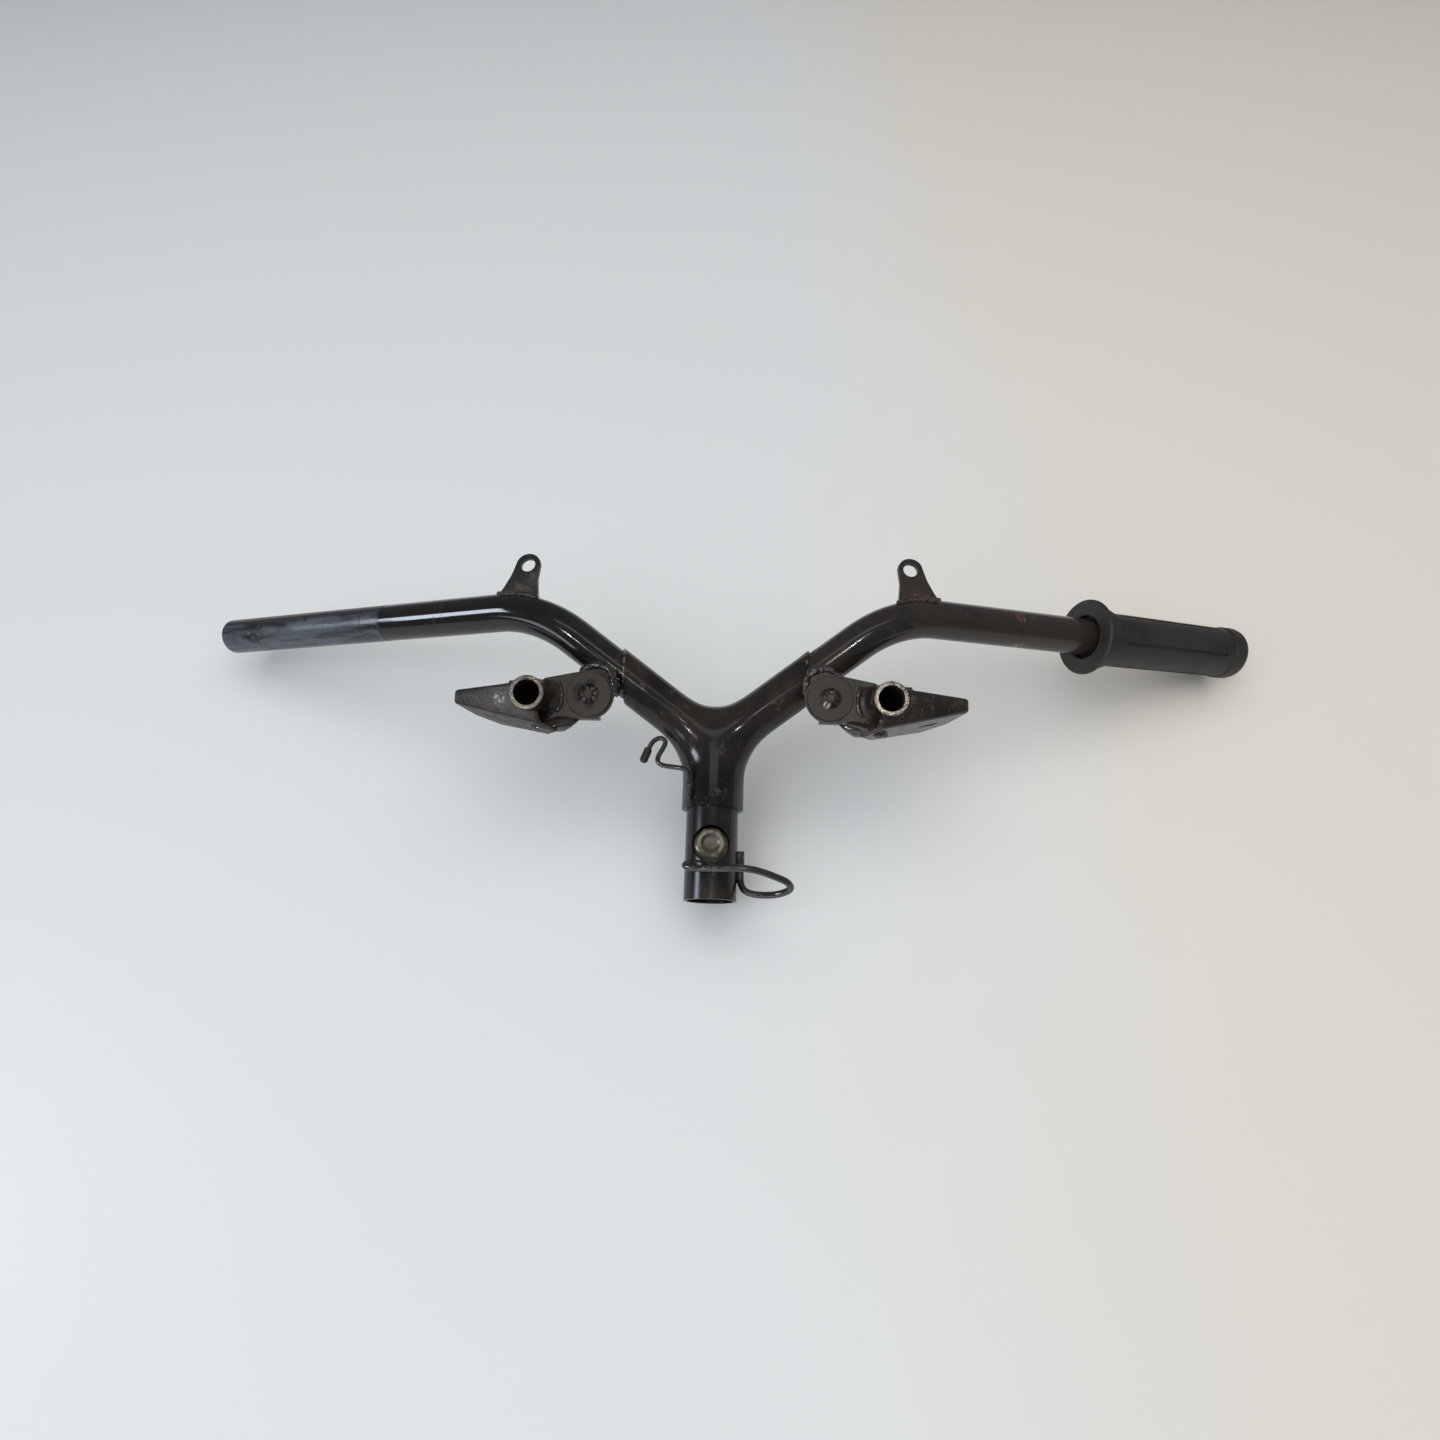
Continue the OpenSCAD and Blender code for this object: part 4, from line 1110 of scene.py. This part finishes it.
# a CAD node's faces, for rays to hit
def nodeTree(nodeName):
    bm = bmesh.new()
    bm.from_mesh(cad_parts[nodeName].data)
    tree = BVHTree.FromBMesh(bm)
    bm.free()
    return tree


# weld beads at the tabs' feet, laid on the bar by looking down on it
tabWeldSetup = {
    "leftTabWeld": {
        "bar": "left_bar_tube", "from": -0.1262, "to": -0.1025, "front": -0.0262,
        "bead": 0.0012, "material": "leftTab",
    },
    "rightTabWeld": {
        "bar": "right_bar_tube", "from": 0.1015, "to": 0.1258, "front": -0.0266,
        "bead": 0.0017, "material": "rightTab",
    },
}
tabWeldShape = {
    "steps": 16,
    "above": 0.3,
    "lift": 0.0004,
    "middle": 0.1115,
    "run": 0.02,
    "slope": 0.002,
    "ripple": 0.0021,
    "rough": 0.4,
    "seed": 3,
}


def addTabWeld(name, setup, shape):
    tree = nodeTree(setup["bar"])
    points = []
    steps = shape["steps"]
    for i in range(steps + 1):
        x = setup["from"] + (setup["to"] - setup["from"]) * i / steps
        y = setup["front"] + shape["slope"] * (abs(x) - shape["middle"]) / shape["run"]
        hit = tree.ray_cast(Vector((x, y, shape["above"])), Vector((0, 0, -1)))
        if hit[0] is not None:
            points.append(hit[0] + hit[1] * shape["lift"])
    bm = bmesh.new()
    addBead(bm, points, setup["bead"], shape["ripple"], shape["rough"], shape["seed"])
    addPiece(name, bm, setup["material"])


for weldName, weldValues in tabWeldSetup.items():
    addTabWeld(weldName, weldValues, tabWeldShape)

# weld beads on the stem: the hook's foot and the ring's leg
stemWeldSetup = {
    "hookWeld": {"turn": 47, "radius": 0.0168, "low": 0.0530, "high": 0.0676, "bead": 0.0025},
    "ringWeld": {"turn": -92, "radius": 0.0156, "low": 0.0125, "high": 0.0262, "bead": 0.0022},
}
stemWeldShape = {"bulge": 1.02, "ripple": 0.0032, "rough": 0.3, "seed": 5}


def addStemWeld(name, setup, shape):
    turn = math.radians(setup["turn"])
    x = -setup["radius"] * math.sin(turn)
    y = -setup["radius"] * math.cos(turn)
    middle = (setup["low"] + setup["high"]) / 2
    points = [
        (x, y, setup["low"]),
        (x * shape["bulge"], y * shape["bulge"], middle),
        (x, y, setup["high"]),
    ]
    bm = bmesh.new()
    addBead(bm, points, setup["bead"], shape["ripple"], shape["rough"], shape["seed"])
    addPiece(name, bm, "wire")


for weldName, weldValues in stemWeldSetup.items():
    addStemWeld(weldName, weldValues, stemWeldShape)
print("beads made")

# weld spatter: small drops that stuck to the brackets round the collars
spatterSetup = {
    "drops": 26,
    "small": 0.00022,
    "large": 0.0005,
    "seed": 11,
    "tries": 400,
    "across": (-36, 26),
    "upright": (-12, 16),
    "ahead": 0.03,
    "mouthRadius": 8.5,
    "discRadius": 12.8,
}


def addSpatter(name, side, setup):
    pick = random.Random(setup["seed"] + side)
    prefix = "right" if side > 0 else "left"
    targets = [nodeTree(f"{prefix}_{part}") for part in ("wedge", "collar", "link", "boss")]
    matrix = localFrame(side)
    aim = (matrix.to_3x3() @ Vector((0, 1, 0))).normalized()
    bm = bmesh.new()
    made = 0
    for attempt in range(setup["tries"]):
        if made >= setup["drops"]:
            break
        x = pick.uniform(*setup["across"])
        z = pick.uniform(*setup["upright"])
        onMouth = math.hypot(x, z) < setup["mouthRadius"]
        onDisc = math.hypot(x - discMiddle[0], z - discMiddle[2]) < setup["discRadius"]
        start = matrix @ Vector((x * mm, -setup["ahead"], z * mm))
        hits = [tree.ray_cast(start, aim) for tree in targets]
        hits = [hit for hit in hits if hit[0] is not None]
        if not hits or onMouth or onDisc:
            continue
        hit = min(hits, key=lambda found: found[3])
        size = pick.uniform(setup["small"], setup["large"])
        drop = bmesh.ops.create_icosphere(bm, subdivisions=1, radius=size)
        bmesh.ops.translate(bm, vec=hit[0], verts=drop["verts"])
        made += 1
    addPiece(name, bm, "spatter")


addSpatter("leftSpatter", -1, spatterSetup)
addSpatter("rightSpatter", 1, spatterSetup)
print("spatter made")
